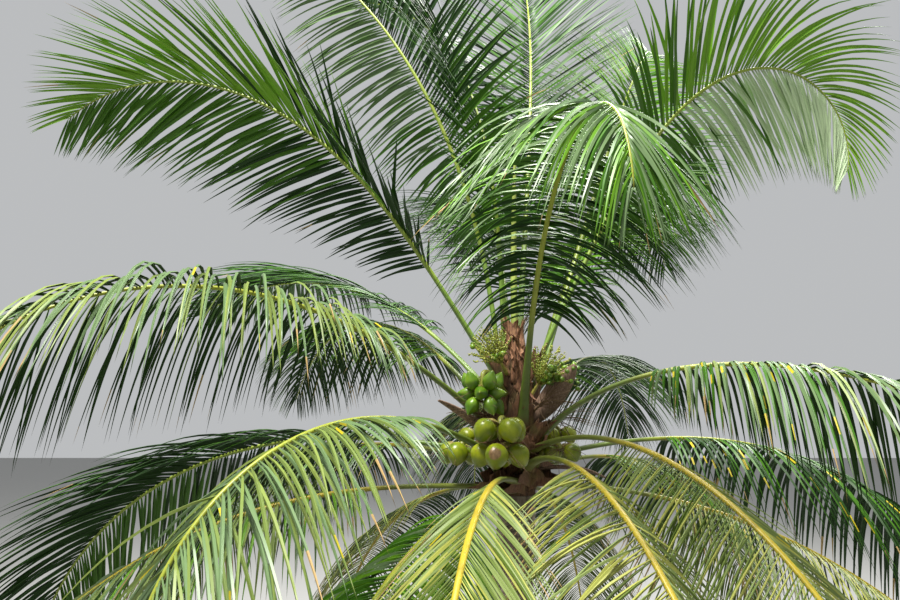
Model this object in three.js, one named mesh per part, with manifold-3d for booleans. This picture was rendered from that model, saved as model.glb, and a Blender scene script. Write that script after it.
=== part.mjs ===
// A young bearing coconut palm: a short ringed trunk with a swollen foot, a crown of arching
// fronds, a spear leaf, bunches of green nuts, flower sprays and their woody spathes.
// Millimetres, +Z up. The origin is on the flat cut under the trunk, at ground level.
// The palm faces -Y: the side with the large nuts. +X is to the right of that view.

import * as THREE from "three";
import Module from "manifold-3d";

const wasm = await Module();
wasm.setup();
const { Manifold } = wasm;

// Clearances: pieces that touch in life, and leaflets that pass each other
const SEAT_GAP = 0.3;
const LEAFLET_CLEARANCE = 1.5;

// Trunk: [height, radius] from the swollen foot to the crown, and how far its top leans
const TRUNK_PROFILE = [
  [0, 285], [110, 252], [260, 216], [480, 188], [800, 172], [1200, 163],
  [1600, 158], [2000, 154], [2450, 151], [2880, 148],
];
const TRUNK_SIDES = 16;
const LEAN = new THREE.Vector3(120, 60, 0);
const LEAN_POWER = 1.6;

// Core of leaf sheaths above the trunk: [height over the trunk, radius]
const CORE_PROFILE = [
  [0, 146], [160, 160], [440, 156], [760, 132], [1060, 98], [1300, 56],
];
const CORE_SIDES = 16;
const TRUNK_TOP = TRUNK_PROFILE.at(-1)[0];
const CORE_TOP = TRUNK_TOP + CORE_PROFILE.at(-1)[0];

// Spear: the youngest leaf, still closed
const SPEAR = { length: 1750, radius: 30, tip: 5, sides: 6, steps: 5, azimuth: 285, bow: 130 };

// Stalk and rib of a frond: sizes at the foot, where the leaflets begin, and at the tip
const OLD_FOOT = { width: 122, depth: 52 };
const YOUNG_FOOT = { width: 74, depth: 40 };
const FIRST_LEAFLET = { width: 52, depth: 40 };
const RIB_TIP = { width: 14, depth: 14 };
const BARE_SHARE = 0.23;
const STALK_SHARES = [0, 0.045, 0.11, 0.17];
const STEEPEST_LEVEL_SEAT = 64;
const RIB_STEPS = 48;

// Leaflets: each stands for a spray of seven of the real ones
const LEAFLET_PAIRS = 14;
const LEAFLET_LENGTH = 1280;
const LEAFLET_THICKNESS = 13;
const LEAFLET_FILL = 0.72;
const LEAFLET_ELBOW = 0.48;
const LEAFLET_STEPS = 8;
const FORWARD_LAST = 24;
const LIMP_PULL = 3.4;
const SHORTENINGS = [1, 0.82, 0.66, 0.52, 0.4];
const LOWEST_LEAFLET = 30;

// Fronds. foot is the height of the seat over the trunk and length is along the rib, in
// millimetres. azimuth is measured from +X towards +Y, rise is the slope of the foot, droop is
// the whole turn downwards, sway the turn sideways and roll the twist by the tip, in degrees.
// bend is the power that gathers the droop towards the tip. hang is how limp the leaflets are,
// forward the angle between the rib and its first leaflets, and lift how far they start out above
// the plane of the frond.
const FROND_FIELDS = [
  "name", "foot", "length", "azimuth", "rise", "droop", "bend", "sway", "roll", "hang", "forward",
  "lift",
];
const FROND_VALUES = [
  ["front_high", 520, 3760, -80, 70, 157, 2.1, -10, -15, 0.64, 84, -14],
  ["right_high", 920, 5150, -1, 64, 181, 3.4, 33, -75, 0.42, 78, 0],
  ["left_high", 860, 4700, 189, 58, 102, 2.6, -14, 48, 0.22, 64, -20],
  ["left_mid", 460, 4650, 206, 39, 108, 1.57, 20, 30, 0.75, 92, -1],
  ["left_upright", 990, 4700, 165, 85, 45, 1.2, 4, 85, 0.3, 80, 12],
  ["back_left_upright", 1040, 4700, 120, 86, 65, 2.0, 34, 15, 0.2, 80, 14],
  ["back_upright", 1150, 4850, 68, 76, 12, 1.5, 35, 0, 0.15, 72, 16],
  ["back_right_upright", 700, 4700, 33, 67, 34, 3.5, 33, 45, 0.3, 80, 12],
  ["left_front_low", 250, 4600, 230, 22, 169, 1.7, 1, 15, 0.5, 80, -8],
  ["right_mid", 380, 4700, -28, 65, 115, 0.52, 22, -22, 0.9, 84, -4],
  ["right_front_low", 320, 4650, -60, 24, 120, 0.85, -1, 8, 0.3, 76, -25],
  ["front_right_low", 190, 4650, -78, 23, 109, 0.82, 0, -20, 0.4, 80, -24],
  ["front_low", 106, 4700, -102, 8, 145, 1.75, 2, 0, 0.35, 46, -20],
  ["front_left_lowest", 46, 4500, 244, 1, 92, 1.4, 4, 0, 0.7, 84, 0],
  ["left_low", 300, 4600, 179, 10, 99, 1.7, -9, 38, 0.38, 66, 0],
  ["left_lowest", 60, 4600, 200, 3.5, 87, 1.7, 0, 0, 0.55, 86, 0],
  ["left_back_mid", 670, 4500, 140, 46, 68, 1.2, 12, 10, 0.4, 60, 12],
  ["back_mid", 800, 4700, 92, 62, 98, 1.8, 6, 15, 0.4, 82, 9],
  ["back_right_mid", 560, 4700, 52, 62, 112, 2.2, 4, -20, 0.6, 84, 3],
  ["back_left_mid", 480, 4600, 128, 42, 94, 1.5, -6, 15, 0.65, 84, 2],
  ["back_right_side", 400, 4600, 62, 34, 88, 1.5, 8, -10, 0.65, 84, 2],
  ["right_low", 270, 4600, 6, 13, 88, 1.4, 4, 0, 0.8, 88, -1],
  ["back_low", 330, 4600, 94, 22, 84, 1.4, -5, 0, 0.7, 84, 0],
  ["back_left_low", 220, 4500, 150, 12, 82, 1.4, 5, 0, 0.75, 84, -1],
  ["back_right_low", 180, 4500, 44, 8, 80, 1.4, -6, 0, 0.8, 84, -2],
  ["right_lowest", 90, 4400, -20, 0, 80, 1.3, 5, 0, 0.75, 84, -2],
  ["back_lowest", 60, 4300, 122, -4, 76, 1.4, 6, 0, 0.75, 84, -2],
  ["back_right_lowest", 60, 4300, 72, -5, 74, 1.4, -4, 0, 0.75, 84, -2],
];

// A frond that turns further than this is made in two lengths, parted where it is steepest bent
const ONE_PIECE_DROOP = 93;

// Bunches of nuts: the stalk leaves the core at seat, rises by lift as it reaches out, and hangs
// through the middle of the nuts, which stand round it in tiers, step times their size apart. At a
// spread of 1 the nuts of a tier just touch.
// slopes are those of the lowest and the highest tier's nuts, in degrees up from level.
const STALK_RADIUS = 24;
const BUNCHES = [
  { name: "nuts_front", azimuth: 254, seat: 390, reach: 610, lift: 200, tiers: 2, tier: 4, step: 0.92, spread: 1.1, size: 190, turn: 74, slopes: [-65, -60] },
  { name: "nuts_young", azimuth: 230, seat: 760, reach: 430, lift: 170, tiers: 3, tier: 5, step: 0.66, spread: 1.06, size: 145, turn: 10, slopes: [-55, 62] },
  { name: "nuts_right", azimuth: 320, seat: 215, reach: 390, lift: 195, tiers: 1, tier: 3, step: 0.92, spread: 1.1, size: 165, turn: 0, slopes: [-65, -65] },
  { name: "nuts_left", azimuth: 207, seat: 170, reach: 500, lift: 240, tiers: 1, tier: 3, step: 0.92, spread: 1.1, size: 180, turn: 20, slopes: [-65, -65] },
  { name: "nuts_back_left", azimuth: 129, seat: 320, reach: 450, lift: 190, tiers: 2, tier: 3, step: 0.92, spread: 1.1, size: 170, turn: 0, slopes: [-65, -65] },
  { name: "nuts_back_right", azimuth: 32, seat: 370, reach: 430, lift: 150, tiers: 2, tier: 3, step: 0.92, spread: 1.1, size: 150, turn: 40, slopes: [-65, -65] },
];
const NUT_SIDES = 6;
const NUT_PROFILE = [[-0.46, 0.08], [-0.3, 0.36], [0.04, 0.45], [0.33, 0.28], [0.5, 0]];

// Flower sprays: a stalk with a broom of thin strands
const SPRAYS = [
  { name: "flowers_left", azimuth: 232, seat: 920, rise: 46, stalk: 150, strands: 12, strand: 290, spread: 42 },
  { name: "flowers_right", azimuth: -32, seat: 760, rise: 54, stalk: 130, strands: 13, strand: 300, spread: 50 },
  { name: "flowers_back", azimuth: 98, seat: 620, rise: 44, stalk: 230, strands: 10, strand: 340, spread: 44 },
];

// Spathes: the woody boats that the sprays came out of
const SPATHES = [
  { name: "spathe_left", azimuth: 205, seat: 360, rise: 40, length: 620, width: 105, bow: 12, turn: 20 },
  { name: "spathe_right", azimuth: -36, seat: 560, rise: 46, length: 560, width: 180, bow: -4, turn: -70 },
  { name: "spathe_low_right", azimuth: -12, seat: 175, rise: 12, length: 520, width: 90, bow: 35, turn: 0 },
  { name: "spathe_back", azimuth: 86, seat: 530, rise: 30, length: 640, width: 116, bow: 26, turn: 22 },
];
const SPATHE_THICKNESS = 9;
const SPATHE_STEPS = 7;

const { degToRad: radians, lerp: mix } = THREE.MathUtils;
const UP = new THREE.Vector3(0, 0, 1);

// Colours
const BARK = 0x8a7f72;
const SHEATH = 0x6f5236;
const YOUNG_GREEN = 0x7c9a4a;
const LEAF_GREEN = 0x4f7a3a;
const OLD_GREEN = 0x93a05a;
const NUT_GREEN = 0x8f9a3c;
const YOUNG_NUT_GREEN = 0x7d9a45;
const FLOWER_GREEN = 0xa0a050;
const SPATHE_BROWN = 0x6e5648;

// Value of a profile of [position, value] pairs at one position, straight between them
function profileAt(profile, position) {
  const last = profile.findIndex(([end]) => end >= position);
  if (last === 0) return profile[0][1];
  if (last < 0) return profile.at(-1)[1];
  const [from, fromValue] = profile[last - 1];
  const [to, toValue] = profile[last];
  return mix(fromValue, toValue, (position - from) / (to - from));
}

// Centre of the trunk at one height
function trunkCentre(height) {
  const share = Math.min(1, height / TRUNK_TOP);
  return LEAN.clone().multiplyScalar(share ** LEAN_POWER).setZ(height);
}

function levelDirection(azimuth) {
  return new THREE.Vector3(Math.cos(radians(azimuth)), Math.sin(radians(azimuth)), 0);
}

// A closed mesh under construction: points and outward triangles
class Shell {
  constructor() {
    this.points = [];
    this.faces = [];
  }

  add(points) {
    const first = this.points.length;
    this.points.push(...points);
    return points.map((_, index) => first + index);
  }

  // A flat or nearly flat face, its corners counter-clockwise seen from outside
  face(corners) {
    for (let index = 2; index < corners.length; index += 1) {
      this.faces.push([corners[0], corners[index - 1], corners[index]]);
    }
  }

  // Walls between two rings of the same count
  walls(from, to) {
    from.forEach((corner, index) => {
      const next = (index + 1) % from.length;
      this.face([corner, from[next], to[next], to[index]]);
    });
  }

  // A cone from a ring to one point
  cone(from, tip) {
    from.forEach((corner, index) => {
      this.face([corner, from[(index + 1) % from.length], tip]);
    });
  }

  solid() {
    const mesh = new wasm.Mesh({
      numProp: 3,
      vertProperties: new Float32Array(this.points.flatMap((point) => point.toArray())),
      triVerts: new Uint32Array(this.faces.flat()),
    });
    return new Manifold(mesh);
  }
}

// A closed solid through rings of points, each ring counter-clockwise seen from its far side.
// A ring of one point makes a pointed end.
function loft(rings) {
  const shell = new Shell();
  const indexed = rings.map((ring) => shell.add(ring));
  const first = indexed[0];
  const last = indexed.at(-1);
  if (first.length > 2) shell.face([...first].reverse());
  for (let index = 1; index < indexed.length; index += 1) {
    const from = indexed[index - 1];
    const to = indexed[index];
    if (to.length === 1) shell.cone(from, to[0]);
    else if (from.length === 1) shell.cone([...to].reverse(), from[0]);
    else shell.walls(from, to);
  }
  if (last.length > 2) shell.face(last);
  return shell.solid();
}

// A regular ring about a centre, square to a direction
function ring(centre, direction, radius, sides) {
  if (radius === 0) return [centre.clone()];
  const side = new THREE.Vector3(0, 1, 0).cross(direction);
  if (side.length() < 0.2) side.set(1, 0, 0).cross(direction);
  side.normalize();
  const other = direction.clone().cross(side).normalize();
  return Array.from({ length: sides }, (_, index) => {
    const angle = 2 * Math.PI * (index + 0.5) / sides;
    return centre.clone()
      .addScaledVector(side, radius * Math.cos(angle))
      .addScaledVector(other, radius * Math.sin(angle));
  });
}

// A round rod along a path, its radius straight between the two given ones
function rod(path, fromRadius, toRadius, sides) {
  const rings = path.map((point, index) => {
    const before = path[Math.max(0, index - 1)];
    const after = path[Math.min(path.length - 1, index + 1)];
    const direction = after.clone().sub(before).normalize();
    const radius = mix(fromRadius, toRadius, index / (path.length - 1));
    return ring(point, direction, radius, sides);
  });
  return loft(rings);
}

function trunkSolid() {
  return loft(TRUNK_PROFILE.map(([height, radius]) => (
    ring(trunkCentre(height), UP, radius, TRUNK_SIDES)
  )));
}

function coreSolid() {
  return loft(CORE_PROFILE.map(([height, radius], index) => {
    const centre = LEAN.clone().setZ(TRUNK_TOP + height + (index === 0 ? SEAT_GAP : 0));
    return ring(centre, UP, radius, CORE_SIDES);
  }));
}

function spearSolid() {
  const path = Array.from({ length: SPEAR.steps + 1 }, (_, index) => {
    const share = index / SPEAR.steps;
    return LEAN.clone()
      .addScaledVector(levelDirection(SPEAR.azimuth), SPEAR.bow * share ** 2.5)
      .setZ(CORE_TOP + SEAT_GAP + SPEAR.length * share);
  });
  return loft(path.map((point, index) => {
    const share = index / SPEAR.steps;
    return ring(point, UP, mix(SPEAR.radius, SPEAR.tip, share ** 1.4), SPEAR.sides);
  }));
}

// Point on the outside of the core at one height over the trunk
function seatPoint(azimuth, height, outward = 0) {
  const radius = profileAt(CORE_PROFILE, height) + outward;
  return LEAN.clone()
    .addScaledVector(levelDirection(azimuth), radius)
    .setZ(TRUNK_TOP + height);
}

// Moves a solid straight in or out until it stands the seat clearance off the core
function seatOn(core, solid, azimuth) {
  let seated = solid;
  const outward = levelDirection(azimuth);
  for (let tries = 0; tries < 12; tries += 1) {
    const gap = seated.minGap(core, 60);
    if (gap > 0 && Math.abs(gap - SEAT_GAP) < 0.02) break;
    const step = gap > 0 ? SEAT_GAP - gap : 4;
    seated = seated.translate(outward.clone().multiplyScalar(step).toArray());
  }
  return seated;
}

// Direction of a rib at one share of its length
function ribDirection(frond, share) {
  const rise = radians(frond.rise - frond.droop * share ** frond.bend);
  const azimuth = radians(frond.azimuth + frond.sway * share * share);
  return new THREE.Vector3(
    Math.cos(rise) * Math.cos(azimuth),
    Math.cos(rise) * Math.sin(azimuth),
    Math.sin(rise),
  );
}

// Point of a rib at one share of its length, from the foot
function ribPoint(frond, share) {
  const point = seatPoint(frond.azimuth, frond.foot, frond.seat);
  const steps = Math.max(1, Math.ceil(share * RIB_STEPS));
  for (let step = 0; step < steps; step += 1) {
    const middle = share * (step + 0.5) / steps;
    point.addScaledVector(ribDirection(frond, middle), share * frond.length / steps);
  }
  return point;
}

// Directions along a rib, across it to the right and out of its upper face
function ribFrame(frond, share) {
  const along = ribDirection(frond, share);
  const azimuth = radians(frond.azimuth + frond.sway * share * share);
  const level = new THREE.Vector3(Math.sin(azimuth), -Math.cos(azimuth), 0);
  const roll = radians(frond.roll * Math.sqrt(share));
  const across = level.applyAxisAngle(along, roll);
  const upper = across.clone().cross(along);
  return { along, across, upper };
}

// Width and depth of a stalk or rib at one share of its length
function ribSize(frond, share) {
  const youth = Math.min(1, frond.foot / CORE_PROFILE.at(-1)[0]);
  const size = {};
  for (const key of ["width", "depth"]) {
    const foot = mix(OLD_FOOT[key], YOUNG_FOOT[key], youth);
    const first = FIRST_LEAFLET[key];
    size[key] = share < BARE_SHARE
      ? mix(first, foot, (1 - share / BARE_SHARE) ** 2)
      : mix(first, RIB_TIP[key], (share - BARE_SHARE) / (1 - BARE_SHARE));
  }
  return size;
}

// Four corners of a rib: upper left, upper right, lower right, lower left
function ribRing(frond, share, forward = 0) {
  const { along, across, upper } = ribFrame(frond, share);
  const { width, depth } = ribSize(frond, share);
  const centre = ribPoint(frond, share).addScaledVector(along, forward);
  const level = share === 0 && frond.rise < STEEPEST_LEVEL_SEAT;
  const up = level ? UP : upper;
  const half = level ? depth / 2 / Math.cos(radians(frond.rise)) : depth / 2;
  return [[-1, 1], [1, 1], [1, -1], [-1, -1]].map(([right, top]) => (
    centre.clone()
      .addScaledVector(across, right * width / 2)
      .addScaledVector(up, top * half)
  ));
}

// Length of a leaflet as a share of the longest, by its place from the first to the tip: short at
// both ends of the row
function leafletLengthShare(place) {
  return Math.sin(Math.PI * mix(0.125, 0.92, place));
}

// Way out from the rib to a point of a leaflet, which leaves forward and bends under its weight
function leafletOffset(frond, share, side, length, portion) {
  const place = (share - BARE_SHARE) / (1 - BARE_SHARE);
  const { along, across, upper } = ribFrame(frond, share);
  const forward = radians(mix(frond.forward, FORWARD_LAST, place ** 1.4));
  const lift = radians(frond.lift);
  const start = along.multiplyScalar(Math.cos(forward))
    .addScaledVector(across, side * Math.sin(forward) * Math.cos(lift))
    .addScaledVector(upper, Math.sin(forward) * Math.sin(lift));
  const offset = new THREE.Vector3();
  const step = portion / LEAFLET_STEPS;
  for (let index = 0; index < LEAFLET_STEPS; index += 1) {
    const out = step * (index + 0.5);
    const pull = LIMP_PULL * frond.hang ** 1.6 * out;
    const direction = start.clone().addScaledVector(UP, -pull).normalize();
    offset.addScaledVector(direction, length * step);
  }
  return offset;
}

// Elbow ring and tip of the leaflet on one length of rib, in the order of its root corners
function leafletPoints(frond, from, to, side, shortening) {
  const share = (from + to) / 2;
  const place = (share - BARE_SHARE) / (1 - BARE_SHARE);
  const length = LEAFLET_LENGTH * leafletLengthShare(place) * shortening;
  const root = ribPoint(frond, share);
  const { along } = ribFrame(frond, share);
  const elbow = leafletOffset(frond, share, side, length, LEAFLET_ELBOW);
  const tip = leafletOffset(frond, share, side, length, 1);
  const face = elbow.clone().cross(along).multiplyScalar(side).normalize();
  const halfWidth = LEAFLET_FILL * (to - from) * frond.length / 2;
  const corner = (forward, top) => root.clone().add(elbow)
    .addScaledVector(along, forward * halfWidth)
    .addScaledVector(face, top * LEAFLET_THICKNESS / 2);
  const order = side > 0
    ? [[-1, 1], [-1, -1], [1, -1], [1, 1]]
    : [[-1, -1], [-1, 1], [1, 1], [1, -1]];
  return { elbow: order.map(([forward, top]) => corner(forward, top)), tip: root.add(tip) };
}

// Root corners of a leaflet out of the two rib rings that it stands between
function rootCorners(from, to, side) {
  return side > 0 ? [from[1], from[2], to[2], to[1]] : [from[3], from[0], to[0], to[3]];
}

// A rib with its accepted leaflets as one closed solid
function frondSolid(rings, leaflets) {
  const shell = new Shell();
  const indexed = rings.map((corners) => shell.add(corners));
  shell.face([...indexed[0]].reverse());
  shell.face(indexed.at(-1));
  for (let index = 1; index < rings.length; index += 1) {
    const from = indexed[index - 1];
    const to = indexed[index];
    shell.face([from[0], from[1], to[1], to[0]]);
    shell.face([from[2], from[3], to[3], to[2]]);
    for (const side of [1, -1]) {
      const root = rootCorners(from, to, side);
      const leaflet = leaflets.find((item) => item.index === index && item.side === side);
      if (leaflet) {
        const elbow = shell.add(leaflet.points.elbow);
        shell.walls(root, elbow);
        shell.cone(elbow, shell.add([leaflet.points.tip])[0]);
      } else {
        shell.face(root);
      }
    }
  }
  return shell.solid();
}

// One piece of frond: the rings of a length of rib
function frondPiece(frond, name, shares, forward) {
  const rings = shares.map((share, index) => ribRing(frond, share, index === 0 ? forward : 0));
  return { frond, name, shares, rings, leaflets: [], bare: loft(rings) };
}

function frondShares() {
  const leafy = Array.from({ length: LEAFLET_PAIRS + 1 }, (_, index) => (
    mix(BARE_SHARE, 1, index / LEAFLET_PAIRS)
  ));
  return [...STALK_SHARES, ...leafy];
}

// Number of the rib ring where a strongly bent frond is parted: half of its turn is behind it
function partingRing(frond, shares) {
  const middle = 0.5 ** (1 / frond.bend);
  const parting = shares.findIndex((share) => share >= middle);
  return Math.min(parting, shares.length - 4);
}

function frondPieces(frond) {
  const shares = frondShares();
  if (frond.droop < ONE_PIECE_DROOP) return [frondPiece(frond, `frond_${frond.name}`, shares, 0)];
  const parting = partingRing(frond, shares);
  return [
    frondPiece(frond, `frond_${frond.name}`, shares.slice(0, parting + 1), 0),
    frondPiece(frond, `frond_${frond.name}_outer`, shares.slice(parting), SEAT_GAP),
  ];
}

// Finds how far out the foot of a frond stands, so that it is just clear of the core
function seatFrond(core, frond) {
  for (let tries = 0; tries < 14; tries += 1) {
    const shares = frondShares().slice(0, 4);
    const gap = loft(shares.map((share) => ribRing(frond, share))).minGap(core, 60);
    if (gap > 0 && Math.abs(gap - SEAT_GAP) < 0.02) return;
    frond.seat += gap > 0 ? SEAT_GAP - gap : 6;
  }
}

// A solid with its bounds, for quick tests against many others
function obstacle(solid, owner) {
  const { min, max } = solid.boundingBox();
  return { solid, owner, min, max };
}

function isClear(candidate, other, clearance) {
  for (let axis = 0; axis < 3; axis += 1) {
    if (candidate.min[axis] > other.max[axis] + clearance) return true;
    if (other.min[axis] > candidate.max[axis] + clearance) return true;
  }
  return candidate.solid.minGap(other.solid, clearance * 2) >= clearance;
}

// Whether a leaflet clears one obstacle. It grows from its own rib beside its neighbours, so of
// those it is the outer half that must be clear, and at a parting it keeps just off the far side.
function leafletClears(leaflet, other) {
  const { piece, side, place, whole, outer } = leaflet;
  const near = other.owner.place === undefined || Math.abs(other.owner.place - place) < 0.07;
  const beside = other.owner.piece?.frond === piece.frond
    && (other.owner.side ?? side) === side
    && near;
  if (!beside) return isClear(whole, other, LEAFLET_CLEARANCE);
  if (other.owner.piece === piece) return isClear(outer, other, LEAFLET_CLEARANCE);
  return isClear(whole, other, SEAT_GAP / 2);
}

// Gives a piece of frond its leaflets. One that would touch anything is made shorter, and one
// that touches even then is left out.
function growLeaflets(piece, obstacles) {
  const { frond, shares, rings } = piece;
  for (let index = 1; index < shares.length; index += 1) {
    if (shares[index - 1] < BARE_SHARE) continue;
    for (const side of [1, -1]) {
      for (const shortening of SHORTENINGS) {
        const points = leafletPoints(frond, shares[index - 1], shares[index], side, shortening);
        const lowest = Math.min(points.tip.z, ...points.elbow.map((point) => point.z));
        if (lowest < LOWEST_LEAFLET) continue;
        const owner = { piece, side, place: shares[index] };
        const root = rootCorners(rings[index - 1], rings[index], side);
        const whole = obstacle(loft([root, points.elbow, [points.tip]]), owner);
        const outer = obstacle(loft([points.elbow, [points.tip]]), owner);
        const leaflet = { ...owner, whole, outer };
        if (!obstacles.every((other) => leafletClears(leaflet, other))) continue;
        piece.leaflets.push({ index, side, points });
        obstacles.push(whole);
        break;
      }
    }
  }
}

// A nut on its short neck from the stalk: round in the middle and pointed at the free end
function nutSolid(hub, centre, direction, size) {
  const neck = centre.clone().sub(hub).normalize();
  return loft([
    ring(hub, neck, 8, NUT_SIDES),
    ...NUT_PROFILE.map(([along, radius]) => (
      ring(centre.clone().addScaledVector(direction, along * size), direction, radius * size, NUT_SIDES)
    )),
  ]);
}

// Nearest distance of a point to the middle lines of the stalks and ribs
function ribDistance(point, fronds) {
  let nearest = Infinity;
  for (const frond of fronds) {
    for (let step = 0; step <= 24; step += 1) {
      nearest = Math.min(nearest, point.distanceTo(ribPoint(frond, step / 40)));
    }
  }
  return nearest;
}

function bunchSolid(core, bunch, fronds) {
  const outward = levelDirection(bunch.azimuth);
  const seat = seatPoint(bunch.azimuth, bunch.seat, 20);
  const reach = bunch.reach - profileAt(CORE_PROFILE, bunch.seat);
  const hanging = bunch.size * (bunch.step * (bunch.tiers - 1) + 0.5);
  const out = (share, rise) => seat.clone()
    .addScaledVector(outward, reach * share)
    .addScaledVector(UP, rise);
  const path = [seat, out(0.5, bunch.lift * 0.8), out(0.85, bunch.lift)];
  path.push(out(1, bunch.lift - bunch.size * 0.2), out(1, bunch.lift - hanging));
  const parts = [rod(path, STALK_RADIUS * 1.15, STALK_RADIUS * 0.7, 6)];
  const around = bunch.size * 0.9 / 2 / Math.sin(Math.PI / bunch.tier) * bunch.spread;
  for (let index = 0; index < bunch.tiers * bunch.tier; index += 1) {
    const tier = Math.floor(index / bunch.tier);
    const side = levelDirection(bunch.turn + 360 / bunch.tier * (index % bunch.tier + tier / 2));
    const middle = path.at(-1).clone().addScaledVector(UP, bunch.size * bunch.step * tier);
    const centre = middle.clone().addScaledVector(side, around);
    if (ribDistance(centre, fronds) < bunch.size / 2 + 42) continue;
    const slope = radians(mix(...bunch.slopes, tier / Math.max(1, bunch.tiers - 1)));
    const direction = side.clone().multiplyScalar(Math.cos(slope))
      .addScaledVector(UP, Math.sin(slope));
    const hub = middle.addScaledVector(UP, -0.27 * bunch.size * Math.sin(slope))
      .addScaledVector(side, 12);
    parts.push(nutSolid(hub, centre, direction, bunch.size));
  }
  return seatOn(core, Manifold.union(parts), bunch.azimuth);
}

function spraySolid(core, spray) {
  const outward = levelDirection(spray.azimuth);
  const seat = seatPoint(spray.azimuth, spray.seat, 20);
  const direction = outward.clone().multiplyScalar(Math.cos(radians(spray.rise)))
    .addScaledVector(UP, Math.sin(radians(spray.rise)));
  const side = new THREE.Vector3().crossVectors(direction, UP).normalize();
  const other = new THREE.Vector3().crossVectors(side, direction);
  const at = (distance) => seat.clone().addScaledVector(direction, distance);
  const parts = [rod([seat, at(spray.stalk / 2), at(spray.stalk * 1.15)], 17, 11, 5)];
  for (let index = 0; index < spray.strands; index += 1) {
    const share = (index + 0.5) / spray.strands;
    const turn = 2.4 * index;
    const lean = radians(spray.spread * Math.sqrt(share));
    const heading = direction.clone().multiplyScalar(Math.cos(lean))
      .addScaledVector(side, Math.sin(lean) * Math.cos(turn))
      .addScaledVector(other, Math.sin(lean) * Math.sin(turn));
    const root = at(spray.stalk * (0.72 + 0.34 * (1 - share)));
    const middle = root.clone().addScaledVector(heading, spray.strand * 0.55);
    const tip = middle.clone().addScaledVector(heading, spray.strand * 0.45)
      .addScaledVector(UP, -spray.strand * 0.14 * share);
    parts.push(rod([root, middle, tip], 7, 4, 3));
  }
  return seatOn(core, Manifold.union(parts), spray.azimuth);
}

// A boat open along its upper side: each ring is an arc of shell with an inner and an outer line
function spatheSolid(core, spathe) {
  const outward = levelDirection(spathe.azimuth);
  const level = new THREE.Vector3(outward.y, -outward.x, 0);
  let centre = seatPoint(spathe.azimuth, spathe.seat, 12);
  const rings = [];
  for (let step = 0; step <= SPATHE_STEPS; step += 1) {
    const share = step / SPATHE_STEPS;
    const rise = radians(spathe.rise - spathe.bow * share);
    const along = outward.clone().multiplyScalar(Math.cos(rise)).addScaledVector(UP, Math.sin(rise));
    const across = level.clone().applyAxisAngle(along, radians(spathe.turn));
    const upper = across.clone().cross(along);
    const half = spathe.width / 2 * Math.sin(Math.PI * mix(0.13, 0.97, share)) ** 0.75;
    const arc = [-1, -0.5, 0.5, 1].map((place) => ({
      sideways: half * place,
      up: half * 0.55 * place * place,
    }));
    const corner = ({ sideways, up }, raise) => centre.clone()
      .addScaledVector(across, sideways)
      .addScaledVector(upper, up + raise);
    rings.push([
      ...arc.map((item) => corner(item, SPATHE_THICKNESS)),
      ...arc.map((item) => corner(item, 0)).reverse(),
    ]);
    centre = centre.clone().addScaledVector(along, spathe.length / SPATHE_STEPS);
  }
  return seatOn(core, loft(rings), spathe.azimuth);
}

function toMesh(solid, name, color) {
  const mesh = solid.getMesh();
  const geometry = new THREE.BufferGeometry();
  const positions = new THREE.BufferAttribute(new Float32Array(mesh.vertProperties), mesh.numProp);
  geometry.setAttribute("position", positions);
  geometry.setIndex(new THREE.BufferAttribute(new Uint32Array(mesh.triVerts), 1));
  geometry.computeVertexNormals();
  const part = new THREE.Mesh(geometry, new THREE.MeshStandardMaterial({ color, roughness: 0.7 }));
  part.name = name;
  return part;
}

function buildPalm() {
  const group = new THREE.Group();
  const obstacles = [];
  const place = (solid, name, color) => {
    group.add(toMesh(solid, name, color));
    obstacles.push(obstacle(solid, {}));
  };

  const core = coreSolid();
  place(trunkSolid(), "trunk", BARK);
  place(core, "sheath_core", SHEATH);
  place(spearSolid(), "spear_leaf", YOUNG_GREEN);

  const fronds = FROND_VALUES.map((values) => (
    Object.fromEntries([["seat", 8], ...FROND_FIELDS.map((field, index) => [field, values[index]])])
  ));
  fronds.forEach((frond) => seatFrond(core, frond));

  for (const bunch of BUNCHES) {
    const color = bunch.name === "nuts_young" ? YOUNG_NUT_GREEN : NUT_GREEN;
    place(bunchSolid(core, bunch, fronds), bunch.name, color);
  }
  SPRAYS.forEach((spray) => place(spraySolid(core, spray), spray.name, FLOWER_GREEN));
  SPATHES.forEach((spathe) => place(spatheSolid(core, spathe), spathe.name, SPATHE_BROWN));

  const pieces = fronds.flatMap(frondPieces);
  pieces.forEach((piece) => obstacles.push(obstacle(piece.bare, { piece })));
  pieces.forEach((piece) => growLeaflets(piece, obstacles));
  for (const piece of pieces) {
    const color = piece.frond.foot < 250 ? OLD_GREEN : LEAF_GREEN;
    group.add(toMesh(frondSolid(piece.rings, piece.leaflets), piece.name, color));
  }
  return group;
}

const group = buildPalm();
group.name = "coconut_palm";
export default group;
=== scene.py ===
"""A young bearing coconut palm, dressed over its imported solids.

Metres, +Z up, the origin on the flat cut under the trunk. The palm faces -Y. Each frond is grown again by
the rule that shaped its solid, with 126 or more narrow leaflets a side in place of fourteen broad ones.
"""

from __future__ import annotations

import logging
from dataclasses import dataclass, field, replace
from enum import Enum

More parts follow.
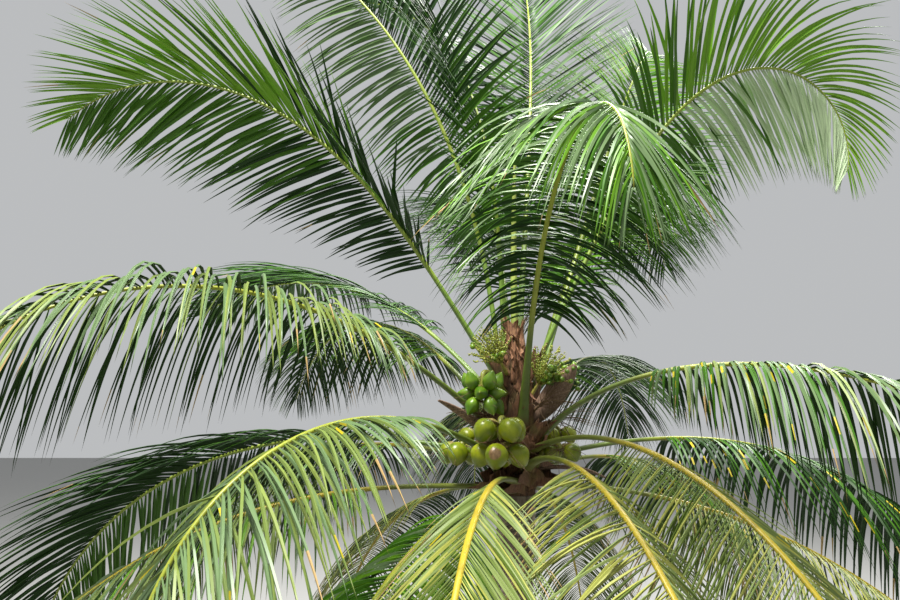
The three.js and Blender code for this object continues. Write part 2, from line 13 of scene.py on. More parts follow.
import bpy
import numpy as np
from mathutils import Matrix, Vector


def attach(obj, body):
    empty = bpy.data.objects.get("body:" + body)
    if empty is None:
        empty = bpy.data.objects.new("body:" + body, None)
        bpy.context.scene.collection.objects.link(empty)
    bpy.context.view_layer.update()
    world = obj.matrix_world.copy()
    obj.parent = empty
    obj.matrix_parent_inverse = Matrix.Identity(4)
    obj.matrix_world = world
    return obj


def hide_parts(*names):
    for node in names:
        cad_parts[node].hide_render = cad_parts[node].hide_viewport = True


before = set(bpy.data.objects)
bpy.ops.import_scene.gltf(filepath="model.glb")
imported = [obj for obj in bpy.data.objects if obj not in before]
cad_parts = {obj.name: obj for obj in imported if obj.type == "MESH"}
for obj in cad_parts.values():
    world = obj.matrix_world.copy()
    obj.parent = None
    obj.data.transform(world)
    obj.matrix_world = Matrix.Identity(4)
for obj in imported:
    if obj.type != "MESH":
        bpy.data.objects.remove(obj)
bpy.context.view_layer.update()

LOG = logging.getLogger("coconut_palm")
Array = np.ndarray
Colour = tuple[float, float, float]

UP = np.array([0.0, 0.0, 1.0])
TRUNK_TOP = 2.88
LEAN = np.array([0.12, 0.06, 0.0])
LEAN_POWER = 1.6
# Short straight steps in which a rib's middle line is walked
RIB_STEPS = 600
# Upward part of its direction past which a rod counts as steep
STEEP = 0.8


def linear(red: int, green: int, blue: int) -> Colour:
    """Scene-linear colour of a screen colour given as 0 to 255, by the usual screen curve."""
    share = np.array([red, green, blue]) / 255
    low = share / 12.92
    high = ((share + 0.055) / 1.055) ** 2.4
    return tuple(np.where(share <= 0.04045, low, high).tolist())


def unit(vectors: Array) -> Array:
    """Vectors scaled to length one along their last axis."""
    return vectors / np.maximum(np.linalg.norm(vectors, axis=-1, keepdims=True), 1e-12)


def level_direction(azimuth: float) -> Array:
    """Level unit vector at an azimuth in degrees, from +X towards +Y."""
    angle = np.radians(azimuth)
    return np.array([np.cos(angle), np.sin(angle), 0.0])


def raised_direction(azimuth: float, rise: float) -> Array:
    """Unit vector at an azimuth and a rise over level, both in degrees."""
    slope = np.radians(rise)
    return level_direction(azimuth) * np.cos(slope) + UP * np.sin(slope)


def smooth_step(value: Array, start: float, end: float) -> Array:
    """Eased rise from 0 at start to 1 at end: three times the square less twice the cube."""
    share = np.clip((value - start) / (end - start), 0, 1)
    return share * share * (3 - 2 * share)


@dataclass
class Surface:
    """Vertices and faces of one shape, with a material number for each face.

    The faces are quads and triangles kept apart, so that many copies can be joined as whole arrays.
    """

    vertices: Array
    quads: Array
    triangles: Array = field(default_factory=lambda: np.zeros((0, 3), int))
    quad_slots: Array | None = None
    triangle_slots: Array | None = None
    uv: Array | None = None

    def __post_init__(self) -> None:
        """Fills in the first material and an empty map where none is given."""
        if self.quad_slots is None:
            self.quad_slots = np.zeros(len(self.quads), int)
        if self.triangle_slots is None:
            self.triangle_slots = np.zeros(len(self.triangles), int)
        if self.uv is None:
            self.uv = np.zeros((len(self.vertices), 2))

    def paint(self, number: int) -> None:
        """Gives every face one material number."""
        self.quad_slots[:] = number
        self.triangle_slots[:] = number

    @staticmethod
    def join(parts: list[Surface]) -> Surface:
        """Joins surfaces into one, each part's face numbers moved on by the vertices before it.

        Args:
            parts: The surfaces, in order.

        Returns:
            One surface that holds them all.
        """
        starts = np.cumsum([0] + [len(part.vertices) for part in parts[:-1]])
        return Surface(
            np.concatenate([part.vertices for part in parts]),
            np.concatenate([part.quads + start for part, start in zip(parts, starts)]),
            np.concatenate([part.triangles + start for part, start in zip(parts, starts)]),
            np.concatenate([part.quad_slots for part in parts]),
            np.concatenate([part.triangle_slots for part in parts]),
            np.concatenate([part.uv for part in parts]),
        )

    def piece(self, name: str, materials: list[bpy.types.Material],
              crease_step: int = 0) -> bpy.types.Object:
        """Puts the surface into a new object at the origin.

        Args:
            name: The piece's name.
            materials: Its materials, in the order of the face numbers.
            crease_step: Edges whose two vertex numbers differ by this stay sharp; 0 keeps all smooth.

        Returns:
            The new object.
        """
        mesh = bpy.data.meshes.new(name)
        corners = np.concatenate([self.quads.ravel(), self.triangles.ravel()]).astype(np.int32)
        sizes = np.concatenate([np.full(len(self.quads), 4), np.full(len(self.triangles), 3)])
        starts = np.concatenate([[0], np.cumsum(sizes)[:-1]]).astype(np.int32)
        mesh.vertices.add(len(self.vertices))
        mesh.vertices.foreach_set("co", self.vertices.astype(np.float32).ravel())
        mesh.loops.add(len(corners))
        mesh.loops.foreach_set("vertex_index", corners)
        mesh.polygons.add(len(sizes))
        mesh.polygons.foreach_set("loop_start", starts)
        slots = np.concatenate([self.quad_slots, self.triangle_slots]).astype(np.int32)
        mesh.polygons.foreach_set("material_index", slots)
        mesh.polygons.foreach_set("use_smooth", np.ones(len(sizes), bool))
        layer = mesh.uv_layers.new(name="along_and_round")
        layer.data.foreach_set("uv", self.uv[corners].astype(np.float32).ravel())
        for material in materials:
            mesh.materials.append(material)
        mesh.update(calc_edges=True)
        if crease_step:
            ends = np.zeros(len(mesh.edges) * 2, np.int32)
            mesh.edges.foreach_get("vertices", ends)
            sharp = np.abs(ends[0::2] - ends[1::2]) == crease_step
            attribute = mesh.attributes.new("sharp_edge", "BOOLEAN", "EDGE")
            attribute.data.foreach_set("value", sharp)
        mesh.validate()
        result = bpy.data.objects.new(name, mesh)
        bpy.context.scene.collection.objects.link(result)
        return result


def grid_quads(rows: int, columns: int, closed: bool) -> Array:
    """Faces of a grid whose vertices run along a row first.

    Args:
        rows: Rows of vertices.
        columns: Vertices in a row.
        closed: Whether the last column joins the first.

    Returns:
        The quads, row by row.
    """
    across = np.arange(columns if closed else columns - 1)
    row, column = np.meshgrid(np.arange(rows - 1), across, indexing="ij")
    following = (column + 1) % columns
    corners = [row * columns + column, row * columns + following]
    corners += [(row + 1) * columns + following, (row + 1) * columns + column]
    return np.stack(corners, -1).reshape(-1, 4)


def end_fans(rows: int, columns: int) -> Array:
    """Triangles that close the first and the last ring on the two vertices that follow a grid's own.

    Args:
        rows: Rings of the grid.
        columns: Vertices in a ring.

    Returns:
        The fan of the first ring, then that of the last.
    """
    around = np.arange(columns)
    following = (around + 1) % columns
    count = rows * columns
    base = count - columns
    first = np.stack([following, around, np.full(columns, count)], -1)
    last = np.stack([base + around, base + following, np.full(columns, count + 1)], -1)
    return np.concatenate([first, last])


def sweep(path: Array, across: Array, upper: Array, width: Array, depth: Array, sides: int,
          square: float = 1.0) -> Surface:
    """Closed rod along a path, with a middle vertex that closes each end.

    Each ring point is the path point, plus half the width times the cosine across, plus half the depth times
    the sine along the upper direction. Cosine and sine keep their sign and are raised to the power square,
    so 1 is an ellipse and less is a rounded box.

    Args:
        path: Points of the middle line, one row each.
        across: Unit vectors along the width.
        upper: Unit vectors along the depth.
        width: Full width at each point.
        depth: Full depth at each point.
        sides: Vertices in a ring.
        square: Power of the section.

    Returns:
        The rod. Its map holds the share along it and the share round it, there and back.
    """
    angle = 2 * np.pi * np.arange(sides) / sides
    cosine = np.sign(np.cos(angle)) * np.abs(np.cos(angle)) ** square
    sine = np.sign(np.sin(angle)) * np.abs(np.sin(angle)) ** square
    rings = (
        path[:, None]
        + across[:, None] * (width[:, None] / 2 * cosine)[..., None]
        + upper[:, None] * (depth[:, None] / 2 * sine)[..., None]
    )
    count = len(path)
    vertices = np.concatenate([rings.reshape(-1, 3), path[:1], path[-1:]])
    along = np.repeat(np.linspace(0, 1, count), sides)
    round_share = np.tile(np.abs(angle / np.pi - 1), count)
    uv = np.concatenate([np.stack([along, round_share], -1), [[0, 0], [1, 0]]])
    return Surface(vertices, grid_quads(count, sides, True), end_fans(count, sides), uv=uv)


def rods(paths: Array, radii: Array, sides: int) -> Surface:
    """Many thin rods at once: the ring rule of a sweep, on stacked paths.

    The rings stand across each path from a level side vector, or from one square to +X on a steep rod.

    Args:
        paths: Middle lines, shaped rod, point, coordinate.
        radii: Radius at each point, shaped rod, point.
        sides: Vertices in a ring.

    Returns:
        All the rods, each end closed on a middle vertex.
    """
    total, count, _ = paths.shape
    tangent = unit(np.gradient(paths, axis=1))
    mean = unit(tangent.mean(axis=1))
    helper = np.where(np.abs(mean[:, 2:3]) > STEEP, [[1.0, 0.0, 0.0]], [[0.0, 0.0, 1.0]])
    side = unit(np.cross(tangent, helper[:, None]))
    other = np.cross(tangent, side)
    angle = 2 * np.pi * np.arange(sides) / sides
    rings = (
        paths[:, :, None]
        + side[:, :, None] * (radii[:, :, None] * np.cos(angle))[..., None]
        + other[:, :, None] * (radii[:, :, None] * np.sin(angle))[..., None]
    )
    block = np.concatenate([rings.reshape(total, count * sides, 3), paths[:, :1], paths[:, -1:]], axis=1)
    shift = (np.arange(total) * (count * sides + 2))[:, None, None]
    quads = (grid_quads(count, sides, True)[None] + shift).reshape(-1, 4)
    triangles = (end_fans(count, sides)[None] + shift).reshape(-1, 3)
    along = np.concatenate([np.repeat(np.linspace(0, 1, count), sides), [0, 1]])
    uv = np.stack([np.tile(along, total), np.repeat(np.arange(total) / max(total, 1), count * sides + 2)], -1)
    return Surface(block.reshape(-1, 3), quads, triangles, uv=uv)


def thin_sheets(sheets: Array, outward: Array, thickness: float) -> Surface:
    """Closes many equal grids of points into thin sheets.

    The back of a sheet is its front less the outward direction times the thickness, and a rim of quads
    joins the two. A sheet whose middle face would turn inward has all its faces turned round.

    Args:
        sheets: Front points, shaped sheet, row, column, coordinate.
        outward: Unit vectors out of the front, of the same shape.
        thickness: Distance from front to back.

    Returns:
        All the sheets.
    """
    total, rows, columns, _ = sheets.shape
    count = rows * columns
    both = np.stack([sheets, sheets - outward * thickness], axis=1)
    front = grid_quads(rows, columns, False)
    grid = np.arange(count).reshape(rows, columns)
    rim = np.concatenate([grid[0], grid[1:, -1], grid[-1, -2::-1], grid[-2:0:-1, 0]])
    following = np.roll(rim, -1)
    hem = np.stack([rim, rim + count, following + count, following], -1)
    quads = np.concatenate([front, front[:, ::-1] + count, hem])
    middle = (rows // 2, columns // 2)
    over = sheets[:, middle[0], middle[1]] - sheets[:, middle[0], middle[1] - 1]
    up = sheets[:, middle[0], middle[1]] - sheets[:, middle[0] - 1, middle[1]]
    inward = np.sum(np.cross(over, up) * outward[:, middle[0], middle[1]], -1) < 0
    turned = np.where(inward[:, None, None], quads[None, :, ::-1], quads[None])
    shift = (np.arange(total) * 2 * count)[:, None, None]
    return Surface(both.reshape(-1, 3), (turned + shift).reshape(-1, 4))


class NodeSheet:
    """The nodes of one material, laid down by short calls."""

    def __init__(self, name: str) -> None:
        """Starts a material with only a surface shader and its output.

        Args:
            name: The material's name.
        """
        self.material = bpy.data.materials.new(name)
        self.material.use_nodes = True
        self.tree = self.material.node_tree
        self.tree.nodes.clear()
        self.shader = self.tree.nodes.new("ShaderNodeBsdfPrincipled")
        output = self.tree.nodes.new("ShaderNodeOutputMaterial")
        self.link(self.shader.outputs["BSDF"], output.inputs["Surface"])

    def link(self, source: bpy.types.NodeSocket, target: bpy.types.NodeSocket) -> None:
        """Joins two sockets."""
        self.tree.links.new(source, target)

    def add(self, kind: str, **values: object) -> bpy.types.Node:
        """Adds a node and sets its own fields.

        Args:
            kind: Blender's name of the node's kind.
            values: Fields of the node.

        Returns:
            The node.
        """
        node = self.tree.nodes.new(kind)
        for key, value in values.items():
            setattr(node, key, value)
        return node

    def place(self, stretch: tuple[float, float, float] = (1, 1, 1)) -> bpy.types.NodeSocket:
        """Object coordinates, scaled along each axis."""
        coordinate = self.add("ShaderNodeTexCoord")
        mapping = self.add("ShaderNodeMapping")
        mapping.inputs["Scale"].default_value = stretch
        self.link(coordinate.outputs["Object"], mapping.inputs["Vector"])
        return mapping.outputs["Vector"]

    def along(self) -> bpy.types.NodeSocket:
        """Share along the piece, from its own map."""
        coordinate = self.add("ShaderNodeTexCoord")
        split = self.add("ShaderNodeSeparateXYZ")
        self.link(coordinate.outputs["UV"], split.inputs["Vector"])
        return split.outputs["X"]

    def noise(self, vector: bpy.types.NodeSocket, scale: float, detail: float = 4,
              roughness: float = 0.55) -> bpy.types.NodeSocket:
        """Cloudy pattern from 0 to 1.

        Args:
            vector: Where it is read.
            scale: Lumps in a metre.
            detail: Finer layers.
            roughness: Strength of the finer layers.

        Returns:
            The pattern.
        """
        node = self.add("ShaderNodeTexNoise")
        node.inputs["Scale"].default_value = scale
        node.inputs["Detail"].default_value = detail
        node.inputs["Roughness"].default_value = roughness
        self.link(vector, node.inputs["Vector"])
        return node.outputs["Fac"]

    def ramp(self, factor: bpy.types.NodeSocket, stops: list[tuple[float, Colour]]) -> bpy.types.NodeSocket:
        """Colour that runs through stops of place and colour.

        Args:
            factor: The place, 0 to 1.
            stops: Places and their colours.

        Returns:
            The colour.
        """
        node = self.add("ShaderNodeValToRGB")
        elements = node.color_ramp.elements
        while len(elements) < len(stops):
            elements.new(0.5)
        for element, (place, colour) in zip(elements, stops):
            element.position = place
            element.color = (*colour, 1)
        self.link(factor, node.inputs["Fac"])
        return node.outputs["Color"]

    def mix(self, factor: bpy.types.NodeSocket, first: object, second: object,
            blend: str = "MIX") -> bpy.types.NodeSocket:
        """Mixes two colours, each a socket or a plain colour.

        Args:
            factor: Share of the second.
            first: The first colour.
            second: The second colour.
            blend: How they mix.

        Returns:
            The mixed colour.
        """
        node = self.add("ShaderNodeMix", data_type="RGBA", blend_type=blend)
        self.link(factor, node.inputs["Factor"])
        for socket, value in ((node.inputs[6], first), (node.inputs[7], second)):
            if isinstance(value, tuple):
                socket.default_value = (*value, 1)
            else:
                self.link(value, socket)
        return node.outputs[2]

    def span(self, value: bpy.types.NodeSocket, low: float, high: float, to_low: float = 0,
             to_high: float = 1) -> bpy.types.NodeSocket:
        """Value carried from one span to another and kept within it.

        Args:
            value: The value.
            low: Start of its own span.
            high: End of its own span.
            to_low: What the start becomes.
            to_high: What the end becomes.

        Returns:
            The carried value.
        """
        node = self.add("ShaderNodeMapRange")
        for key, number in (("From Min", low), ("From Max", high), ("To Min", to_low), ("To Max", to_high)):
            node.inputs[key].default_value = number
        self.link(value, node.inputs["Value"])
        return node.outputs["Result"]

    def bump(self, height: bpy.types.NodeSocket, strength: float, distance: float) -> None:
        """Raises the shaded surface by a pattern.

        Args:
            height: The pattern.
            strength: Share of it that shows.
            distance: Height of its full relief, in metres.
        """
        node = self.add("ShaderNodeBump")
        node.inputs["Strength"].default_value = strength
        node.inputs["Distance"].default_value = distance
        self.link(height, node.inputs["Height"])
        self.link(node.outputs["Normal"], self.shader.inputs["Normal"])

    def finish(self, colour: bpy.types.NodeSocket, roughness: float) -> bpy.types.Material:
        """Joins the colour and sets the roughness, and gives the material back."""
        self.link(colour, self.shader.inputs["Base Color"])
        self.shader.inputs["Roughness"].default_value = roughness
        return self.material


@dataclass(frozen=True)
class Finish:
    """A finish of the palm, whose material is made when it is first asked for."""

    name: str

    def material(self) -> bpy.types.Material:
        """The finish's material, the same one each time."""
        return bpy.data.materials.get(self.name) or self.make(NodeSheet(self.name))

    def make(self, sheet: NodeSheet) -> bpy.types.Material:
        """Lays down the finish's own nodes; each kind of finish has its own."""
        raise NotImplementedError


@dataclass(frozen=True)
class LeafSkin(Finish):
    """Plain skin of one face of a leaflet: one even colour, dealt out leaflet by leaflet."""

    colour: Colour
    roughness: float = 0.42
    shine: float = 0.3

    def make(self, sheet: NodeSheet) -> bpy.types.Material:
        """Sets the colour, the roughness and a weak shine."""
        sheet.shader.inputs["Base Color"].default_value = (*self.colour, 1)
        sheet.shader.inputs["Roughness"].default_value = self.roughness
        sheet.shader.inputs["Specular IOR Level"].default_value = self.shine
        return sheet.material


@dataclass(frozen=True)
class StalkFinish(Finish):
    """Waxy stalk and rib: brown at the clasping foot, green, then the yellow of the rib, with specks."""

    stalk: Colour
    rib: Colour
    roughness: float = 0.38

    def make(self, sheet: NodeSheet) -> bpy.types.Material:
        """Runs the three colours along the stalk, then adds darker patches, brown specks and a fine grain."""
        brown = linear(96, 70, 42)
        stops = [(0.0, brown), (0.03, self.stalk), (0.18, self.stalk), (0.25, self.rib), (1.0, self.rib)]
        base = sheet.ramp(sheet.along(), stops)
        patches = sheet.noise(sheet.place(), 9, 5)
        darker = sheet.mix(sheet.span(patches, 0.5, 0.72, 0, 0.55), base, (0.45, 0.42, 0.3), "MULTIPLY")
        specks = sheet.noise(sheet.place(), 70, 3)
        spotted = sheet.mix(sheet.span(specks, 0.62, 0.75, 0, 0.6), darker, linear(92, 74, 40))
        sheet.bump(sheet.noise(sheet.place(), 120, 4), 0.25, 0.002)
        return sheet.finish(spotted, self.roughness)


@dataclass(frozen=True)
class BarkFinish(Finish):
    """Grey-brown bark: cloudy pale and dark, with dark cracks up and down and patches of green lichen."""

    name: str = "ringed_bark"
    dark: Colour = linear(92, 80, 66)
    middle: Colour = linear(132, 120, 103)
    pale: Colour = linear(168, 158, 140)

    def make(self, sheet: NodeSheet) -> bpy.types.Material:
        """Clouds three greys together, then adds the cracks, the lichen and the rough relief."""
        tone = sheet.noise(sheet.place((6, 6, 2)), 1.6, 6)
        base = sheet.ramp(tone, [(0.3, self.dark), (0.5, self.middle), (0.72, self.pale)])
        cracks = sheet.noise(sheet.place((26, 26, 5)), 2.2, 5, 0.6)
        cracked = sheet.mix(sheet.span(cracks, 0.56, 0.7, 0, 0.8), base, linear(54, 44, 34))
        lichen = sheet.noise(sheet.place((1, 1, 0.7)), 4.5, 5)
        coloured = sheet.mix(sheet.span(lichen, 0.58, 0.7, 0, 0.5), cracked, linear(128, 136, 104))
        sheet.bump(sheet.noise(sheet.place((12, 12, 4)), 6, 8, 0.65), 0.6, 0.006)
        return sheet.finish(coloured, 0.86)


@dataclass(frozen=True)
class FibreFinish(Finish):
    """Coarse brown fibre cloth of the leaf sheaths, streaked lengthwise."""

    dark: Colour
    pale: Colour

    def make(self, sheet: NodeSheet) -> bpy.types.Material:
        """Streaks the two browns lengthwise, with green-brown patches and relief along the streaks."""
        streaks = sheet.noise(sheet.place((60, 60, 9)), 1.6, 6, 0.6)
        base = sheet.ramp(streaks, [(0.32, self.dark), (0.7, self.pale)])
        patches = sheet.noise(sheet.place(), 7, 4)
        coloured = sheet.mix(sheet.span(patches, 0.52, 0.72, 0, 0.6), base, linear(112, 104, 58))
        sheet.bump(streaks, 0.8, 0.004)
        return sheet.finish(coloured, 0.88)


@dataclass(frozen=True)
class HuskFinish(Finish):
    """Waxy green husk, yellower in patches, with brown scars and a soft shine."""

    green: Colour
    yellow: Colour
    scar: Colour
    worn_at: tuple[float, float, float] | None = None

    def make(self, sheet: NodeSheet) -> bpy.types.Material:
        """Clouds green and yellow, with scars; round the worn place, where one is given, it is corky."""
        tone = sheet.noise(sheet.place(), 7, 4)
        base = sheet.ramp(tone, [(0.34, self.green), (0.66, self.yellow)])
        blotches = sheet.noise(sheet.place((1, 1, 0.6)), 26, 6, 0.65)
        scarred = sheet.mix(sheet.span(blotches, 0.6, 0.72, 0, 0.75), base, self.scar)
        tip = sheet.mix(sheet.span(sheet.along(), 0.92, 1.0, 0, 0.5), scarred, self.scar)
        if self.worn_at:
            away = sheet.add("ShaderNodeVectorMath", operation="DISTANCE")
            sheet.link(sheet.place(), away.inputs[0])
            away.inputs[1].default_value = self.worn_at
            ragged = sheet.add("ShaderNodeMath", operation="MULTIPLY_ADD")
            sheet.link(sheet.noise(sheet.place(), 34, 5), ragged.inputs[0])
            ragged.inputs[1].default_value = 0.06
            sheet.link(away.outputs["Value"], ragged.inputs[2])
            worn = sheet.ramp(blotches, [(0.35, linear(92, 68, 42)), (0.65, linear(150, 122, 86))])
            tip = sheet.mix(sheet.span(ragged.outputs["Value"], 0.066, 0.078, 1, 0), tip, worn)
        sheet.bump(sheet.noise(sheet.place(), 55, 4), 0.18, 0.002)
        return sheet.finish(tip, 0.34)


@dataclass(frozen=True)
class WoodFinish(Finish):
    """Dry woody skin with long streaks."""

    dark: Colour
    pale: Colour
    roughness: float = 0.72

    def make(self, sheet: NodeSheet) -> bpy.types.Material:
        """Streaks the two colours lengthwise, with relief along the streaks."""
        streaks = sheet.noise(sheet.place((38, 38, 12)), 2.0, 6, 0.6)
        base = sheet.ramp(streaks, [(0.3, self.dark), (0.72, self.pale)])
        sheet.bump(streaks, 0.5, 0.003)
        return sheet.finish(base, self.roughness)


# Painted shade: the darkest green, worn by leaflets deep in the crown's shade.
SHADE_GREEN = LeafSkin("leaf_painted_shade_green", linear(26, 60, 6), 0.5)
MIDDLE = LeafSkin("leaf_middle_green", linear(54, 98, 10))
FRESH = LeafSkin("leaf_fresh_green", linear(88, 134, 22))
GLAUCOUS = LeafSkin("leaf_grey_green", linear(96, 120, 78), 0.36)
# Painted sunlight: the lit yellow-green of leaflets in full sun, dealt out among the upper skins.
SUNLIT = LeafSkin("leaf_painted_sunlit_green", linear(116, 132, 62))
OLDER = LeafSkin("leaf_old_green", linear(104, 122, 58), 0.46)
OLD_GREY = LeafSkin("leaf_old_grey", linear(128, 144, 84), 0.46)
FADED = LeafSkin("leaf_faded_green", linear(158, 162, 78), 0.5)
YELLOWED = LeafSkin("leaf_yellowed", linear(174, 160, 30), 0.5)
DRY = LeafSkin("leaf_dry_tip", linear(166, 140, 92), 0.7)
# Painted backlight: lower faces glowing bright green, as if the sun shone through them.
BACKLIT_UNDERSIDE = LeafSkin("leaf_painted_backlit_underside", linear(108, 152, 38), 0.5)
SILVER = LeafSkin("leaf_silver_underside", linear(172, 192, 152), 0.4)
UNDER = LeafSkin("leaf_underside", linear(62, 102, 20), 0.5)
# Painted shade: the dark lower faces of leaflets that lie in the crown's shade.
SHADE_UNDERSIDE = LeafSkin("leaf_painted_shade_underside", linear(24, 56, 6), 0.5)
UNDER_OLD = LeafSkin("leaf_old_underside", linear(78, 98, 26), 0.58)

YOUNG_STALK = StalkFinish("young_stalk", linear(104, 132, 50), linear(134, 152, 52))
GREEN_STALK = StalkFinish("green_stalk", linear(92, 110, 42), linear(146, 154, 50))
GOLDEN_STALK = StalkFinish("golden_stalk", linear(104, 114, 44), linear(172, 154, 40))
DRY_WOOD = WoodFinish("dry_strand", linear(64, 46, 28), linear(116, 92, 58))


@dataclass(frozen=True)
class Dress:
    """Colours of one age of frond.

    Args:
        uppers: Skins of the upper faces, with the share of leaflets that wear each.
        right: Skin of the lower faces of leaflets on the right of the rib.
        left: The same on the left; where the two differ, the difference is painted light and shade on the two
            sides.
        inner: Painted shade: skin of the lower faces near the stalk, where the crown shades them.
        stalk: Finish of stalk and rib.
        dry: Share of leaflets with a dry tip.
        spotted: Share of leaflets with a yellow patch.
        width: Widest part of a leaflet, in metres.
        stir: How untidy the leaflets stand; 1 is a frond in the wind.
    """

    uppers: tuple[tuple[LeafSkin, float], ...]
    right: LeafSkin
    left: LeafSkin
    inner: LeafSkin
    stalk: StalkFinish
    dry: float
    spotted: float = 0.0
    width: float = 0.031
    stir: float = 1.0

    def skins(self) -> list[bpy.types.Material]:
        """The leaflets' materials: the upper ones, the three lower ones, the dry and the yellow one."""
        uppers = [skin for skin, _ in self.uppers]
        return [skin.material() for skin in (*uppers, self.right, self.left, self.inner, DRY, YELLOWED)]


class Age(Enum):
    """Age of a frond, from the upright young ones to the lowest, with the light and shade painted on it."""

    SPREAD = Dress(
        ((FRESH, 0.5), (MIDDLE, 0.3), (SUNLIT, 0.2)),
        BACKLIT_UNDERSIDE, SILVER, UNDER, YOUNG_STALK, dry=0.0, width=0.038)
    YOUNG = Dress(
        ((MIDDLE, 0.5), (FRESH, 0.4), (SUNLIT, 0.1)),
        UNDER, UNDER, SHADE_UNDERSIDE, YOUNG_STALK, dry=0.0)
    GREY = Dress(
        ((GLAUCOUS, 0.5), (OLDER, 0.2), (MIDDLE, 0.3)),
        GLAUCOUS, SHADE_UNDERSIDE, UNDER, YOUNG_STALK, dry=0.02)
    ARCHED = Dress(
        ((MIDDLE, 0.6), (FRESH, 0.4)),
        UNDER, BACKLIT_UNDERSIDE, SHADE_UNDERSIDE, YOUNG_STALK, dry=0.04, width=0.035, stir=1.2)
    GLOSSY = Dress(
        ((GLAUCOUS, 0.48), (FRESH, 0.27), (MIDDLE, 0.25)),
        UNDER, UNDER, SHADE_GREEN, GREEN_STALK, dry=0.06, width=0.033, stir=1.7)
    SHADED = Dress(
        ((SHADE_GREEN, 0.6), (MIDDLE, 0.4)),
        UNDER, SHADE_UNDERSIDE, SHADE_UNDERSIDE, YOUNG_STALK, dry=0.02, width=0.034)
    SILVERY = Dress(
        ((GLAUCOUS, 0.5), (OLDER, 0.34), (SUNLIT, 0.16)),
        SHADE_UNDERSIDE, SHADE_UNDERSIDE, SHADE_UNDERSIDE, GREEN_STALK, dry=0.12, spotted=0.06, width=0.026, stir=1.6)
    FULL = Dress(
        ((MIDDLE, 0.5), (GLAUCOUS, 0.25), (FRESH, 0.25)),
        SHADE_UNDERSIDE, SHADE_UNDERSIDE, SHADE_UNDERSIDE, GREEN_STALK, dry=0.05, spotted=0.03)
    SPOTTED = Dress(
        ((MIDDLE, 0.3), (GLAUCOUS, 0.55), (OLD_GREY, 0.15)),
        UNDER, SHADE_UNDERSIDE, SHADE_UNDERSIDE, GREEN_STALK, dry=0.12, spotted=0.6, width=0.03, stir=1.3)
    # Painted shade: dark leaflets of a curtain that hangs in the crown's shade.
    SHADED_CURTAIN = Dress(
        ((SHADE_GREEN, 0.6), (MIDDLE, 0.4)),
        SHADE_UNDERSIDE, SHADE_UNDERSIDE, SHADE_UNDERSIDE, GREEN_STALK, dry=0.1, spotted=0.8, width=0.034, stir=1.4)
    RIPE = Dress(
        ((OLDER, 0.45), (GLAUCOUS, 0.3), (FRESH, 0.25)),
        UNDER_OLD, UNDER_OLD, SHADE_UNDERSIDE, GOLDEN_STALK, dry=0.2, spotted=0.08, width=0.026)
    OLD = Dress(
        ((OLDER, 0.3), (FADED, 0.36), (OLD_GREY, 0.34)),
        UNDER_OLD, UNDER_OLD, SHADE_UNDERSIDE, GOLDEN_STALK, dry=0.55, spotted=0.1, width=0.018, stir=0.6)
    COMBED = Dress(
        ((OLDER, 0.4), (FADED, 0.22), (OLD_GREY, 0.28), (UNDER_OLD, 0.1)),
        UNDER_OLD, UNDER_OLD, SHADE_UNDERSIDE, GOLDEN_STALK, dry=0.6, spotted=0.12, width=0.0145, stir=0.7)
    RAGGED = Dress(
        ((OLDER, 0.3), (FADED, 0.45), (OLD_GREY, 0.25)),
        UNDER_OLD, UNDER_OLD, SHADE_UNDERSIDE, GOLDEN_STALK, dry=0.8, spotted=0.12, width=0.018, stir=1.8)


@dataclass(frozen=True)
class Profile:
    """A size that runs straight between stated heights."""

    places: tuple[float, ...]
    sizes: tuple[float, ...]

    def at(self, place: Array | float) -> Array:
        """Size at one or many places."""
        return np.interp(place, self.places, self.sizes)


CORE = Profile((0, 0.16, 0.44, 0.76, 1.06, 1.3), (0.146, 0.16, 0.156, 0.132, 0.098, 0.056))
TRUNK = Profile(
    (0, 0.11, 0.26, 0.48, 0.8, 1.2, 1.6, 2.0, 2.45, 2.88),
    (0.285, 0.252, 0.216, 0.188, 0.172, 0.163, 0.158, 0.154, 0.151, 0.148),
)


def seat_point(azimuth: float, height: float, outward: float = 0.0) -> Array:
    """Point on the outside of the core, at one height over the trunk."""
    radius = float(CORE.at(height)) + outward
    return LEAN + level_direction(azimuth) * radius + UP * (TRUNK_TOP + height)


@dataclass(frozen=True)
class RibSize:
    """Size of a rib across one way.

    Args:
        old_foot: At the foot of the oldest frond.
        young_foot: At the foot of the youngest frond.
        first: At the first leaflet.
        tip: At the tip.
    """

    old_foot: float
    young_foot: float
    first: float
    tip: float


RIB_WIDTH = RibSize(0.122, 0.074, 0.044, 0.01)
RIB_DEPTH = RibSize(0.052, 0.04, 0.034, 0.01)


